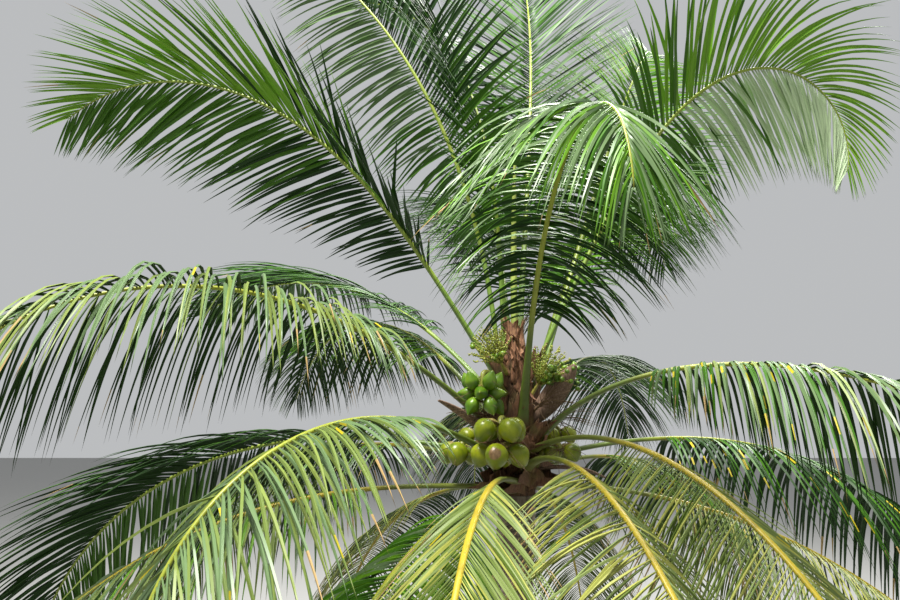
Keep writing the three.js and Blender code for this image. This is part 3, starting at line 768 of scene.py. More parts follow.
@dataclass
class Frond:
    """One frond: a stalk that clasps the core, an arching rib and two rows of leaflets.

    Angles are in degrees and lengths in metres, here and in every class below. The rib's slope falls from
    rise by droop times the share of its length to the power bend, while its heading turns by sway times
    the share squared.

    Args:
        name: The frond's place in the crown.
        foot: Height of its foot over the trunk.
        length: Length of stalk and rib together.
        azimuth: Heading of the foot.
        rise: Slope of the foot, up from level.
        droop: How far the slope falls from foot to tip.
        bend: Power of that fall; a high one keeps the bend near the tip.
        sway: How far the heading turns from foot to tip.
        roll: Turn of the tip about the rib.
        hang: How limp the leaflets are; 1 is a curtain.
        forward_first: Angle between the rib and the first leaflet.
        lift: Angle of the leaflets off the frond's own plane.
        age: Age, which gives the colours and the leaflets' width.
        parts: Number of solids that the frond is in the frame.
        bare_share: Share of the length that has no leaflets.
        leaflets_a_side: Leaflets in a row.
        leaflet_length: Length of the longest leaflet.
        leaflet_steps: Steps along a leaflet.
        forward_last: Angle between the rib and the last leaflet.
        limp_pull: Downward part that the limpest leaflet gains.
        steepest_level_seat: Rise from which the foot stands off the core.
        rib_sides: Vertices in a ring of the rib.
        place_stir: How far leaflets stray along the rib, as a share of the row.
        forward_stir: How far their forward angle strays.
        lift_stir: How far their lift strays.
        tilt: Turn of a leaflet's blade about its own line.
        tilt_stir: How far the tilt strays.
        inner_share: Share of the row whose lower faces the crown shades.
        inner_stir: How far that share strays.
    """

    name: str
    foot: float
    length: float
    azimuth: float
    rise: float
    droop: float
    bend: float
    sway: float
    roll: float
    hang: float
    forward_first: float
    lift: float
    age: Age
    parts: int = 1

    bare_share: float = 0.23
    leaflets_a_side: int = 126
    leaflet_length: float = 1.28
    leaflet_steps: int = 9
    forward_last: float = 24
    limp_pull: float = 3.4
    steepest_level_seat: float = 64
    rib_sides: int = 12
    place_stir: float = 0.0016
    forward_stir: float = 2.4
    lift_stir: float = 4.5
    tilt: float = 20
    tilt_stir: float = 9
    inner_share: float = 0.34
    inner_stir: float = 0.1

    def start(self) -> Array:
        """Foot of the rib's middle line, on the outside of the core."""
        steep = self.rise >= self.steepest_level_seat
        _, depth = self.size(np.array([0.0]))
        outward = float(depth[0]) / 2 * np.sin(np.radians(self.rise)) if steep else 0.0
        return seat_point(self.azimuth, self.foot, outward + 0.002)

    def headings(self, share: Array) -> tuple[Array, Array]:
        """Slope and azimuth of the rib in radians at shares of its length."""
        slope = np.radians(self.rise - self.droop * np.abs(share) ** self.bend)
        return slope, np.radians(self.azimuth + self.sway * share * share)

    def along(self, share: Array) -> Array:
        """Unit vectors along the rib."""
        slope, azimuth = self.headings(share)
        flat = np.cos(slope)
        return np.stack([flat * np.cos(azimuth), flat * np.sin(azimuth), np.sin(slope)], -1)

    def points(self, share: Array) -> Array:
        """Points of the rib's middle line: the foot plus the running sum of its short straight steps."""
        fine = np.linspace(0, 1, RIB_STEPS + 1)
        middle = (fine[1:] + fine[:-1]) / 2
        walked = np.cumsum(self.along(middle) * self.length / RIB_STEPS, axis=0)
        line = self.start() + np.concatenate([np.zeros((1, 3)), walked])
        inside = np.minimum(share, 0)[:, None] * self.length * self.along(np.zeros(1))
        at = np.clip(share, 0, 1)
        return np.stack([np.interp(at, fine, line[:, axis]) for axis in range(3)], -1) + inside

    def frames(self, share: Array) -> tuple[Array, Array, Array]:
        """Unit vectors along the rib, across it to the right and out of its upper face.

        The level vector to the right is turned about the rib by roll times the root of the share.

        Args:
            share: Shares of the length.

        Returns:
            The three directions, one row for each share.
        """
        along = self.along(share)
        _, azimuth = self.headings(share)
        level = np.stack([np.sin(azimuth), -np.cos(azimuth), np.zeros_like(azimuth)], -1)
        over = np.cross(level, along)
        roll = np.radians(self.roll * np.sqrt(np.clip(share, 0, 1)))[:, None]
        across = level * np.cos(roll) - over * np.sin(roll)
        return along, across, np.cross(across, along)

    def size(self, share: Array) -> tuple[Array, Array]:
        """Width and depth of stalk and rib.

        From the foot they ease to the first leaflet by the square of the bare share that is left, and from
        there they run straight to the tip. A foot higher on the core is younger and slimmer.

        Args:
            share: Shares of the length.

        Returns:
            The width and the depth at each share.
        """
        youth = min(1.0, self.foot / CORE.places[-1])
        stalk = np.clip(1 - share / self.bare_share, 0, None) ** 2
        rest = np.clip((share - self.bare_share) / (1 - self.bare_share), 0, 1)
        sizes = []
        for size in (RIB_WIDTH, RIB_DEPTH):
            foot = size.old_foot + (size.young_foot - size.old_foot) * youth
            sizes.append(size.first + (foot - size.first) * stalk + (size.tip - size.first) * rest)
        return sizes[0], sizes[1]

    def rib(self) -> Surface:
        """Rounded stalk and rib, its foot let into the fibre of the core.

        The foot widens to clasp the core, and the upper side of the stalk is hollowed like a gutter that
        runs out by three tenths of the length.

        Returns:
            The rod, its map's first number the share of the frond's length.
        """
        sides = self.rib_sides
        share = np.concatenate([[-0.008], np.linspace(0, 0.1, 12), np.linspace(0.12, 1, 66)])
        _, across, upper = self.frames(np.clip(share, 0, 1))
        width, depth = self.size(np.clip(share, 0, 1))
        clasp = 1 + 0.18 * np.clip(1 - share / 0.03, 0, 1.3)
        taper = np.where(share > 0.999, 0.4, 1.0)
        path = self.points(share)
        surface = sweep(path, -across, upper, width * clasp * taper, depth * taper, sides, 0.8)
        hollow = np.clip(1 - share / 0.3, 0, 1) * depth * 0.3
        rings = surface.vertices[: len(share) * sides].reshape(-1, sides, 3)
        rings[:, sides // 4] -= upper * hollow[:, None]
        ends = [share[0], share[-1]]
        surface.uv[:, 0] = np.clip(np.concatenate([np.repeat(share, sides), ends]), 0, 1)
        return surface

    def leaflet_length_share(self, place: Array) -> Array:
        """Leaflet length as a share of the longest: the sine of half a turn's share, from 0.125 to 0.92."""
        return np.sin(np.pi * (0.125 + 0.795 * place))

    def leaflet_points(self, place: Array, side: Array, generator: np.random.Generator) -> Array:
        """Points of every leaflet.

        A leaflet leaves the rib forward, at the frond's lift off its plane, and its direction then gains a
        downward part that grows with the distance out, so it bends under its weight. Its section is a roof
        of four points: two edges, a ridge above and a keel below. Half its width eases in over the first
        fifth and narrows by the share out to the power 2.4.

        Args:
            place: Share of each leaflet along its row.
            side: 1 for a leaflet on the right of the rib, -1 for one on the left.
            generator: Source of the small differences between leaflets.

        Returns:
            For each leaflet four points at every step, and then its tip.
        """
        dress = self.age.value
        total = len(place)
        strayed = place + generator.normal(0, self.place_stir * dress.stir, total)
        share = self.bare_share + (1 - self.bare_share) * np.clip(strayed, 0, 1)
        along, across, upper = self.frames(share)
        width, depth = self.size(share)
        forward = self.forward_first + (self.forward_last - self.forward_first) * place ** 1.4
        forward = np.radians(forward + generator.normal(0, self.forward_stir * dress.stir, total))
        lift = np.radians(self.lift + generator.normal(0, self.lift_stir * dress.stir, total))
        out = across * (side * np.sin(forward) * np.cos(lift))[:, None]
        start = along * np.cos(forward)[:, None] + out + upper * (np.sin(forward) * np.sin(lift))[:, None]
        root = self.points(share) + across * (side * width * 0.36)[:, None] + upper * (depth * 0.2)[:, None]
        length = self.leaflet_length * self.leaflet_length_share(place) * generator.uniform(0.9, 1.0, total)
        pull = self.limp_pull * self.hang ** 1.6 * generator.uniform(0.8, 1.16, total)

        steps = self.leaflet_steps
        middle = (np.arange(steps) + 0.5) / steps
        direction = unit(start[:, None] - UP * (pull[:, None] * middle)[..., None])
        walked = np.cumsum(direction * (length / steps)[:, None, None], axis=1)
        line = root[:, None] + np.concatenate([np.zeros((total, 1, 3)), walked], axis=1)
        ahead = np.concatenate([direction, direction[:, -1:]], axis=1)
        ahead = unit(ahead + np.concatenate([direction[:, :1], direction], axis=1))

        blade = unit(along[:, None] - ahead * np.sum(along[:, None] * ahead, -1, keepdims=True))
        face = np.cross(ahead, blade) * side[:, None, None]
        tilt = np.radians(generator.normal(self.tilt, self.tilt_stir * dress.stir, total))[:, None, None]
        edge = blade * np.cos(tilt) - face * np.sin(tilt)
        face = face * np.cos(tilt) + blade * np.sin(tilt)
        out_share = np.linspace(0, 1, steps + 1)
        widest = dress.width * (0.82 + 0.6 * place - 0.95 * place * place)
        taper = (0.45 + 0.55 * smooth_step(out_share, 0, 0.2)) * (1 - out_share ** 2.4)
        half = (widest / 2)[:, None] * taper * generator.uniform(0.88, 1.08, total)[:, None]
        fold = half * 0.75 * (1 - 0.5 * out_share)
        thick = 0.0011 + 0.0018 * (1 - out_share)
        ridge = line + face * thick[:, None]
        keel = line - face * thick[:, None]
        left = line - edge * half[..., None] - face * fold[..., None]
        right = line + edge * half[..., None] - face * fold[..., None]
        rings = np.stack([left, ridge, right, keel], axis=2)[:, :-1]
        return np.concatenate([rings.reshape(total, steps * 4, 3), line[:, -1:]], axis=1)

    def leaflet_skins(self, place: Array, side: Array,
                      generator: np.random.Generator) -> tuple[Array, Array]:
        """Face numbers of every leaflet.

        They count the age's upper skins, then the right, the left and the inner lower one, the dry and the
        yellow one. A dry tip takes the last one to three steps, and a yellow patch half of one step.

        Args:
            place: Share of each leaflet along its row.
            side: 1 for a leaflet on the right of the rib, -1 for one on the left.
            generator: Source of the choices.

        Returns:
            The numbers of the quads and of the tip's triangles, a row for each leaflet.
        """
        dress = self.age.value
        steps = self.leaflet_steps
        total = len(place)
        weights = np.array([weight for _, weight in dress.uppers])
        skin = generator.choice(len(weights), total, p=weights / weights.sum())
        right = len(weights)
        left, inner, dry, yellow = right + 1, right + 2, right + 3, right + 4
        over = np.array([True, True, False, False])
        is_upper = np.concatenate([np.tile(over, steps - 1), [False]])
        # Lower faces near the stalk take the inner skin, painted shade; farther out, each side's own lower
        # skin.
        inner_until = generator.normal(self.inner_share, self.inner_stir, total)
        under = np.where(place < inner_until, inner, np.where(side > 0, right, left))
        quad_slots = np.where(is_upper, skin[:, None], under[:, None])
        tip_slots = np.where(over, skin[:, None], under[:, None])
        dries = generator.random(total) < dress.dry
        reach = generator.integers(1, 4, total)
        step_of = np.concatenate([np.repeat(np.arange(steps - 1), 4), [0]])
        dry_quads = dries[:, None] & (step_of >= (steps - reach)[:, None])
        quad_slots = np.where(dry_quads, dry, quad_slots)
        spotted = generator.random(total) < dress.spotted
        spot = generator.integers(1, steps - 1, total)
        column = np.concatenate([np.tile(np.arange(4), steps - 1), [3]])
        half_blade = column == generator.integers(0, 2, total)[:, None]
        spot_quads = spotted[:, None] & (step_of == spot[:, None]) & half_blade
        quad_slots = np.where(spot_quads, yellow, quad_slots)
        tip_slots = np.where(dries[:, None], dry, tip_slots)
        return quad_slots, tip_slots

    def leaflets(self, generator: np.random.Generator) -> Surface:
        """Both rows of leaflets, the right one first, each leaflet closed at its root and its tip.

        Args:
            generator: Source of the small differences between leaflets.

        Returns:
            The leaflets.
        """
        count = self.leaflets_a_side
        place = np.tile((np.arange(count) + 0.5) / count, 2)
        side = np.repeat([1.0, -1.0], count)
        points = self.leaflet_points(place, side, generator)
        quad_slots, tip_slots = self.leaflet_skins(place, side, generator)
        tip = self.leaflet_steps * 4
        last = tip - 4
        around = np.arange(4)
        quads = np.concatenate([grid_quads(self.leaflet_steps, 4, True), [[3, 2, 1, 0]]])
        triangles = np.stack([last + around, last + (around + 1) % 4, np.full(4, tip)], -1)
        mirrored = (side > 0)[:, None, None]
        shift = (np.arange(len(place)) * (tip + 1))[:, None, None]
        all_quads = np.where(mirrored, quads[None, :, ::-1], quads[None]) + shift
        all_triangles = np.where(mirrored, triangles[None, :, ::-1], triangles[None]) + shift
        return Surface(
            points.reshape(-1, 3), all_quads.reshape(-1, 4), all_triangles.reshape(-1, 3),
            quad_slots.ravel(), tip_slots.ravel(),
        )

    def build(self, number: int) -> list[bpy.types.Object]:
        """Makes and dresses the frond's two pieces.

        Args:
            number: The frond's number, which seeds its small differences.

        Returns:
            The rib and the leaflets.
        """
        dress = self.age.value
        generator = np.random.default_rng(4100 + number)
        nodes = [f"frond_{self.name}"] + [f"frond_{self.name}_outer"] * (self.parts - 1)
        rib = self.rib().piece(f"rib_{self.name}", [dress.stalk.material()])
        leaflets = self.leaflets(generator).piece(f"leaflets_{self.name}", dress.skins(), crease_step=4)
        for piece in (rib, leaflets):
            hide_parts(*nodes)
            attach(piece, "root")
        return [rib, leaflets]


@dataclass
class Crown:
    """All the fronds, in the order of the solids."""

    # Name, foot, length, azimuth, rise, droop, bend, sway, roll, hang, forward_first, lift, age, parts
    fronds: list[Frond] = field(default_factory=lambda: [
        Frond("front_high", 0.52, 3.76, -80, 70, 157, 2.1, -10, -15, 0.64, 84, -14, Age.GLOSSY, 2),
        Frond("right_high", 0.92, 5.15, -1, 64, 181, 3.4, 33, -75, 0.42, 78, 0, Age.SPREAD, 2),
        Frond("left_high", 0.86, 4.7, 189, 58, 102, 2.6, -14, 48, 0.22, 64, -20, Age.ARCHED, 2),
        Frond("left_mid", 0.46, 4.65, 206, 39, 108, 1.57, 20, 30, 0.75, 92, -1, Age.SILVERY, 2,
              leaflets_a_side=146),
        Frond("left_upright", 0.99, 4.7, 165, 85, 45, 1.2, 4, 85, 0.3, 80, 12, Age.GREY),
        Frond("back_left_upright", 1.04, 4.7, 120, 86, 65, 2.0, 34, 15, 0.2, 80, 14, Age.SHADED),
        Frond("back_upright", 1.15, 4.85, 68, 76, 12, 1.5, 35, 0, 0.15, 72, 16, Age.SHADED),
        Frond("back_right_upright", 0.7, 4.7, 33, 67, 34, 3.5, 33, 45, 0.3, 80, 12, Age.YOUNG),
        Frond("left_front_low", 0.25, 4.6, 230, 22, 169, 1.7, 1, 15, 0.5, 80, -8, Age.SILVERY, 2),
        Frond("right_mid", 0.38, 4.7, -28, 65, 115, 0.52, 22, -22, 0.9, 84, -4, Age.SPOTTED, 2,
              leaflets_a_side=150),
        Frond("right_front_low", 0.32, 4.65, -60, 24, 120, 0.85, -1, 8, 0.3, 76, -25, Age.COMBED, 2,
              leaflets_a_side=140),
        Frond("front_right_low", 0.19, 4.65, -78, 23, 109, 0.82, 0, -20, 0.4, 80, -24, Age.RAGGED, 2),
        Frond("front_low", 0.106, 4.7, -102, 8, 145, 1.75, 2, 0, 0.35, 46, -20, Age.COMBED, 2,
              leaflets_a_side=150),
        Frond("front_left_lowest", 0.046, 4.5, 244, 1, 92, 1.4, 4, 0, 0.7, 84, 0, Age.FULL),
        Frond("left_low", 0.3, 4.6, 179, 10, 99, 1.7, -9, 38, 0.38, 66, 0, Age.SHADED, 2),
        Frond("left_lowest", 0.06, 4.6, 200, 3.5, 87, 1.7, 0, 0, 0.55, 86, 0, Age.RIPE),
        Frond("left_back_mid", 0.67, 4.5, 140, 46, 68, 1.2, 12, 10, 0.4, 60, 12, Age.SHADED),
        Frond("back_mid", 0.8, 4.7, 92, 62, 98, 1.8, 6, 15, 0.4, 82, 9, Age.SHADED, 2),
        Frond("back_right_mid", 0.56, 4.7, 52, 62, 112, 2.2, 4, -20, 0.6, 84, 3, Age.SHADED, 2),
        Frond("back_left_mid", 0.48, 4.6, 128, 42, 94, 1.5, -6, 15, 0.65, 84, 2, Age.FULL, 2),
        Frond("back_right_side", 0.4, 4.6, 62, 34, 88, 1.5, 8, -10, 0.65, 84, 2, Age.FULL),
        Frond("right_low", 0.27, 4.6, 6, 13, 88, 1.4, 4, 0, 0.8, 88, -1, Age.SHADED_CURTAIN),
        Frond("back_low", 0.33, 4.6, 94, 22, 84, 1.4, -5, 0, 0.7, 84, 0, Age.SILVERY),
        Frond("back_left_low", 0.22, 4.5, 150, 12, 82, 1.4, 5, 0, 0.75, 84, -1, Age.RIPE),
        Frond("back_right_low", 0.18, 4.5, 44, 8, 80, 1.4, -6, 0, 0.8, 84, -2, Age.RIPE),
        Frond("right_lowest", 0.09, 4.4, -20, 0, 80, 1.3, 5, 0, 0.75, 84, -2, Age.OLD),
        Frond("back_lowest", 0.06, 4.3, 122, -4, 76, 1.4, 6, 0, 0.75, 84, -2, Age.OLD),
        Frond("back_right_lowest", 0.06, 4.3, 72, -5, 74, 1.4, -4, 0, 0.75, 84, -2, Age.OLD),
    ])

    def build(self) -> list[bpy.types.Object]:
        """Makes every frond."""
        made = []
        for number, frond in enumerate(self.fronds):
            made += frond.build(number)
        return made

    def rib_clearance(self, point: Array) -> float:
        """Nearest distance of a point to the inner three fifths of the ribs."""
        share = np.arange(25) / 40
        lines = np.concatenate([frond.points(share) for frond in self.fronds])
        return float(np.linalg.norm(lines - point, axis=1).min())


@dataclass
class Trunk:
    """Ringed trunk: the solid's lean and taper, with the relief of leaf scars and cracks.

    Args:
        columns: Vertices round the trunk.
        rows: Rings of vertices up it.
        ring_step: Height between leaf scars.
        ring_depth: How far a scar stands out.
        ring_rise: Share of a step over which the wall swells out to its scar.
        root_height: Height in which the swelling of the foot dies down.
    """

    columns: int = 144
    rows: int = 480
    ring_step: float = 0.062
    ring_depth: float = 0.007
    ring_rise: float = 0.86
    root_height: float = 0.35

    def surface(self) -> Surface:
        """Trunk wall on a grid of height and angle, closed under and over.

        The radius is the taper, plus a saw-tooth that steps out at each leaf scar, whose height wanders with
        the angle, less shallow cracks up and down near the foot.

        Returns:
            The trunk.
        """
        height = np.linspace(0, TRUNK_TOP, self.rows)[:, None]
        angle = 2 * np.pi * np.arange(self.columns)[None] / self.columns
        wander = 0.016 * np.sin(angle + height * 9) + 0.007 * np.sin(3 * angle - height * 23)
        step = self.ring_step * (1 + 0.12 * np.sin(height * 4.1))
        turn = (height + wander) / step
        tooth = turn - np.floor(turn)
        falling = (1 - tooth) / (1 - self.ring_rise)
        scar = np.where(tooth < self.ring_rise, tooth / self.ring_rise, falling) ** 1.5
        cracks = np.sin(23 * angle + 3 * np.sin(height * 7)) * np.sin(11 * angle - height * 5)
        foot = np.exp(-height / self.root_height)
        swell = 0.012 * foot * np.sin(7 * angle + 0.6) + 0.006 * foot * np.sin(17 * angle)
        radius = TRUNK.at(height) - 0.006 + self.ring_depth * scar
        radius = radius + swell - 0.0035 * np.clip(cracks, 0, 1) * (0.4 + foot)
        lean = LEAN * (height[..., None] / TRUNK_TOP) ** LEAN_POWER
        ring = np.stack([radius * np.cos(angle), radius * np.sin(angle), height + 0 * angle], -1)
        wall = (ring + lean).reshape(-1, 3)
        vertices = np.concatenate([wall, [[0, 0, 0]], [LEAN + UP * TRUNK_TOP]])
        quads = grid_quads(self.rows, self.columns, True)
        return Surface(vertices, quads, end_fans(self.rows, self.columns))

    def build(self) -> list[bpy.types.Object]:
        """Makes and dresses the trunk."""
        piece = self.surface().piece("trunk_bark", [BarkFinish().material()])
        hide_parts("trunk")
        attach(piece, "root")
        return [piece]


@dataclass
class SheathCore:
    """Core of wrapped leaf sheaths: a ribbed body with loose fibres over it.

    Args:
        columns: Vertices round the core.
        rows: Rings of vertices up it.
        wrap_step: Height from one sheath's edge to the next.
        wraps: Sheath edges that start round the foot.
        wrap_depth: How far an edge stands out.
        fibres: Number of loose fibres.
        fibre_radius: Radius of a fibre at its root.
        seed: Number that deals out the fibres.
    """

    columns: int = 120
    rows: int = 150
    wrap_step: float = 0.11
    wraps: int = 2
    wrap_depth: float = 0.006
    fibres: int = 420
    fibre_radius: float = 0.0014
    seed: int = 77

    def body(self) -> Surface:
        """Core wall: the solid's radius with sheath edges that climb round it and fine upright ribs.

        Returns:
            The core.
        """
        height = np.linspace(0, CORE.places[-1], self.rows)[:, None]
        angle = 2 * np.pi * np.arange(self.columns)[None] / self.columns
        turn = (height / self.wrap_step + self.wraps * angle / (2 * np.pi)) % 1
        wrap = self.wrap_depth * turn
        ribs = 0.0022 * np.sin(41 * angle + 9 * height) + 0.0016 * np.sin(67 * angle - 14 * height)
        radius = CORE.at(height) - 0.008 + wrap + ribs
        centre = LEAN + UP * TRUNK_TOP
        ring = np.stack([radius * np.cos(angle), radius * np.sin(angle), height + 0 * angle], -1) + centre
        wall = ring.reshape(-1, 3)
        vertices = np.concatenate([wall, [centre], [centre + UP * CORE.places[-1]]])
        quads = grid_quads(self.rows, self.columns, True)
        return Surface(vertices, quads, end_fans(self.rows, self.columns))

    def loose_fibres(self) -> Surface:
        """Thin fibres that climb askew over the core, each on a slanting line that stands a little off it.

        Returns:
            All the fibres.
        """
        generator = np.random.default_rng(self.seed)
        share = np.linspace(0, 1, 9)
        start = generator.uniform(0, 2 * np.pi, self.fibres)
        low = generator.uniform(0.0, 1.0, self.fibres)
        tall = generator.uniform(0.12, 0.34, self.fibres)
        slant = generator.uniform(-1.1, 1.1, self.fibres)
        height = np.clip(low[:, None] + tall[:, None] * share, 0.01, CORE.places[-1] - 0.02)
        angle = start[:, None] + slant[:, None] * share
        stand = 0.002 + 0.012 * share ** 3 * generator.uniform(0, 1, self.fibres)[:, None]
        radius = CORE.at(height) + stand
        paths = np.stack([radius * np.cos(angle), radius * np.sin(angle), height], -1)
        radii = np.full(height.shape, self.fibre_radius) * (1 - 0.6 * share)
        return rods(paths + LEAN + UP * TRUNK_TOP, radii, 4)

    def build(self) -> list[bpy.types.Object]:
        """Makes and dresses the core and its fibres."""
        fibre = FibreFinish("sheath_fibre", linear(46, 30, 20), linear(104, 76, 50))
        body = self.body().piece("core_sheaths", [fibre.material()])
        loose = FibreFinish("loose_fibre", linear(72, 48, 30), linear(144, 108, 72))
        fibres = self.loose_fibres().piece("core_fibres", [loose.material()])
        for piece in (body, fibres):
            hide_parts("sheath_core")
            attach(piece, "root")
        return [body, fibres]


@dataclass
class SheathCloth:
    """Brown fibre cloth that spreads from both edges of each stalk's foot and clasps the core.

    Args:
        reach: How far up the stalk the cloth holds on.
        wrap: How far round the core it goes, in degrees.
        fall: Height of the cloth where it meets the core.
        thickness: Thickness of the cloth.
        highest: Foot height above which a stalk has no cloth.
        rows: Rows of vertices up a wing.
        columns: Vertices across a wing.
        seed: Number that deals out the tears of the wings.
        strips: Number of torn strips that stand off the core.
        strip_thickness: Thickness of a strip.
        strip_seed: Number that deals out the strips.
    """

    reach: float = 0.32
    wrap: float = 46
    fall: float = 0.26
    thickness: float = 0.0022
    highest: float = 1.0
    rows: int = 14
    columns: int = 12
    seed: int = 31
    strips: int = 170
    strip_thickness: float = 0.0016
    strip_seed: int = 53

    def wing(self, frond: Frond, side: float, generator: np.random.Generator) -> tuple[Array, Array]:
        """One wing of cloth between the stalk's edge and the core.

        Each point lies between a point on the stalk's edge and one on the core, by the share across, and
        sags a little outward between them. The upper hem is torn: its height follows a few random waves.

        Args:
            frond: The frond whose stalk holds the cloth.
            side: 1 for the right edge of the stalk, -1 for the left one.
            generator: Source of the tears.

        Returns:
            Points of the wing by row and column, and the outward directions there.
        """
        up = np.linspace(0, 1, self.rows)[:, None, None]
        over = np.linspace(0, 1, self.columns)[None, :, None]
        phase = generator.uniform(0, 6.3, 3)
        torn = 0.78 + 0.1 * np.sin(9 * over + phase[0]) + 0.08 * np.sin(23 * over + phase[1])
        torn = torn + 0.05 * generator.normal(0, 1, (1, self.columns, 1))
        height = up * np.clip(torn, 0.3, 1.1)
        share = (height[..., 0] * self.reach / frond.length).ravel()
        _, across, upper = frond.frames(share)
        width, depth = frond.size(share)
        edge = frond.points(share) + across * (side * width * 0.5)[:, None] - upper * (depth * 0.3)[:, None]
        edge = edge.reshape(self.rows, self.columns, 3)
        level = level_direction(frond.azimuth - side * self.wrap * generator.uniform(0.8, 1.1))
        low = max(frond.foot - 0.05, 0.01)
        rise = low + height[..., 0] * self.fall
        core = LEAN + level * (CORE.at(rise) + 0.006)[..., None] + UP * (TRUNK_TOP + rise)[..., None]
        sheet = edge * (1 - over) + core * over
        middle = LEAN + UP * sheet[..., 2:3]
        outward = sheet - middle
        reach = np.linalg.norm(outward, axis=-1, keepdims=True)
        least = CORE.at(sheet[..., 2:3] - TRUNK_TOP) + 0.005
        crumple = 0.006 * np.sin(19 * over + 5 * up + phase[2]) * np.sin(np.pi * over)
        bulge = np.maximum(reach, least) + crumple + 0.016 * np.sin(np.pi * over)
        outward = unit(outward)
        return middle + outward * bulge, outward

    def build(self, crown: Crown) -> list[bpy.types.Object]:
        """Makes and dresses the cloth of every frond that leaves the ribbed part of the core.

        Args:
            crown: The fronds that the cloth holds on to.

        Returns:
            The cloth and its torn strips.
        """
        generator = np.random.default_rng(self.seed)
        wings = [
            self.wing(frond, side, generator)
            for frond in crown.fronds if frond.foot < self.highest
            for side in (1.0, -1.0)
        ]
        sheets = np.stack([points for points, _ in wings])
        outward = np.stack([directions for _, directions in wings])
        cloth = FibreFinish("sheath_cloth", linear(60, 38, 25), linear(128, 90, 60))
        whole = thin_sheets(sheets, outward, self.thickness)
        pieces = [whole.piece("sheath_cloth", [cloth.material()])]
        torn = FibreFinish("torn_fibre", linear(68, 38, 26), linear(158, 114, 82))
        pieces.append(self.torn_strips().piece("torn_fibre", [torn.material()]))
        for piece in pieces:
            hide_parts("sheath_core")
            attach(piece, "root")
        return pieces

    def torn_strips(self) -> Surface:
        """Torn strips of cloth round the core, curling outward, two thirds of them upright.

        A strip runs up or down from its root by its length times the share along it, and stands off the core
        by a tenth to a half of that times the share squared. It narrows to a ragged point.

        Returns:
            All the strips.
        """
        generator = np.random.default_rng(self.strip_seed)
        count = self.strips
        share = np.linspace(0, 1, 9)[None, :, None]
        across = np.linspace(-1, 1, 4)[None, None, :]
        start, lean, curl = (generator.uniform(low, high, count)[:, None, None]
                             for low, high in ((0, 6.3), (-0.5, 0.5), (0.1, 0.5)))
        root = generator.uniform(0.15, 1.28, count)[:, None, None]
        upward = np.where(generator.random(count) < 0.66, 1.0, -0.7)[:, None, None]
        length = generator.uniform(0.14, 0.36, count)[:, None, None]
        width = generator.uniform(0.01, 0.04, count)[:, None, None]
        half = width * (1 - share ** 1.5) * (1 + 0.25 * np.sin(17 * share + 9 * start)) + 0.0008
        height = root + upward * (length * share - 0.25 * length * share ** 3)
        stand = 0.004 + curl * length * share ** 2 + 0.006 * np.sin(8 * share + start) * share
        radius = CORE.at(np.minimum(height, CORE.places[-1])) + stand + 0 * across
        angle = start + lean * share * length / 0.15 + across * half / radius
        outward = np.stack([np.cos(angle), np.sin(angle), 0 * angle], -1)
        sheets = outward * radius[..., None] + UP * (height + 0 * across)[..., None] + LEAN + UP * TRUNK_TOP
        return thin_sheets(sheets, outward, self.strip_thickness)


@dataclass
class Spear:
    """The youngest leaf, still closed: a slim ridged rod that leans a little to the front.

    Args:
        length: Height of its tip over the core.
        radius: Radius at the foot.
        tip: Radius at the tip.
        azimuth: Where it leans.
        bow: How far the tip leans out.
        rows: Rings of vertices along it.
        pleats: Grooves along it, four vertices apart.
    """

    length: float = 1.75
    radius: float = 0.03
    tip: float = 0.005
    azimuth: float = 285
    bow: float = 0.13
    rows: int = 60
    pleats: int = 7

    def build(self) -> list[bpy.types.Object]:
        """Makes and dresses the spear: the solid's line, with the pleats pressed in by a tenth."""
        columns = 4 * self.pleats
        share = np.linspace(0, 1, self.rows)
        foot = LEAN + UP * (TRUNK_TOP + CORE.places[-1])
        path = foot + level_direction(self.azimuth) * (self.bow * share ** 2.5)[:, None]
        path = path + UP * (self.length * share)[:, None]
        radius = self.radius + (self.tip - self.radius) * share ** 1.4
        across = np.tile([1.0, 0.0, 0.0], (self.rows, 1))
        upper = np.tile([0.0, 1.0, 0.0], (self.rows, 1))
        surface = sweep(path, across, upper, 2 * radius, 2 * radius, columns)
        ring = surface.vertices[: self.rows * columns].reshape(self.rows, columns, 3)
        pressed = 1 - 0.1 * (np.arange(columns) % 4 == 0)
        ring[:] = path[:, None] + (ring - path[:, None]) * pressed[None, :, None]
        finish = StalkFinish("spear_skin", linear(140, 158, 76), linear(162, 176, 88))
        piece = surface.piece("spear_closed_leaf", [finish.material()])
        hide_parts("spear_leaf")
        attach(piece, "root")
        return [piece]


@dataclass(frozen=True)
class NutKind:
    """Shape and husk of nuts of one age.

    Args:
        husk: The husk's finish.
        girth: Half the width as a share of the length.
        point: How far the free end is drawn in.
        plump: Power of the outline; lower is rounder.
        scale: How much fuller than the solid's nuts they are drawn.
    """

    husk: HuskFinish
    girth: float
    point: float
    plump: float
    scale: float = 1.0


class Nuts(Enum):
    """Kinds of nut on the palm."""

    FULL = NutKind(
        HuskFinish("green_husk", linear(86, 106, 8), linear(142, 150, 22), linear(114, 86, 38)),
        girth=0.46, point=0.14, plump=0.56)
    YOUNG = NutKind(
        HuskFinish("young_husk", linear(58, 94, 8), linear(106, 136, 30), linear(130, 116, 50)),
        girth=0.35, point=0.95, plump=0.62, scale=1.14)


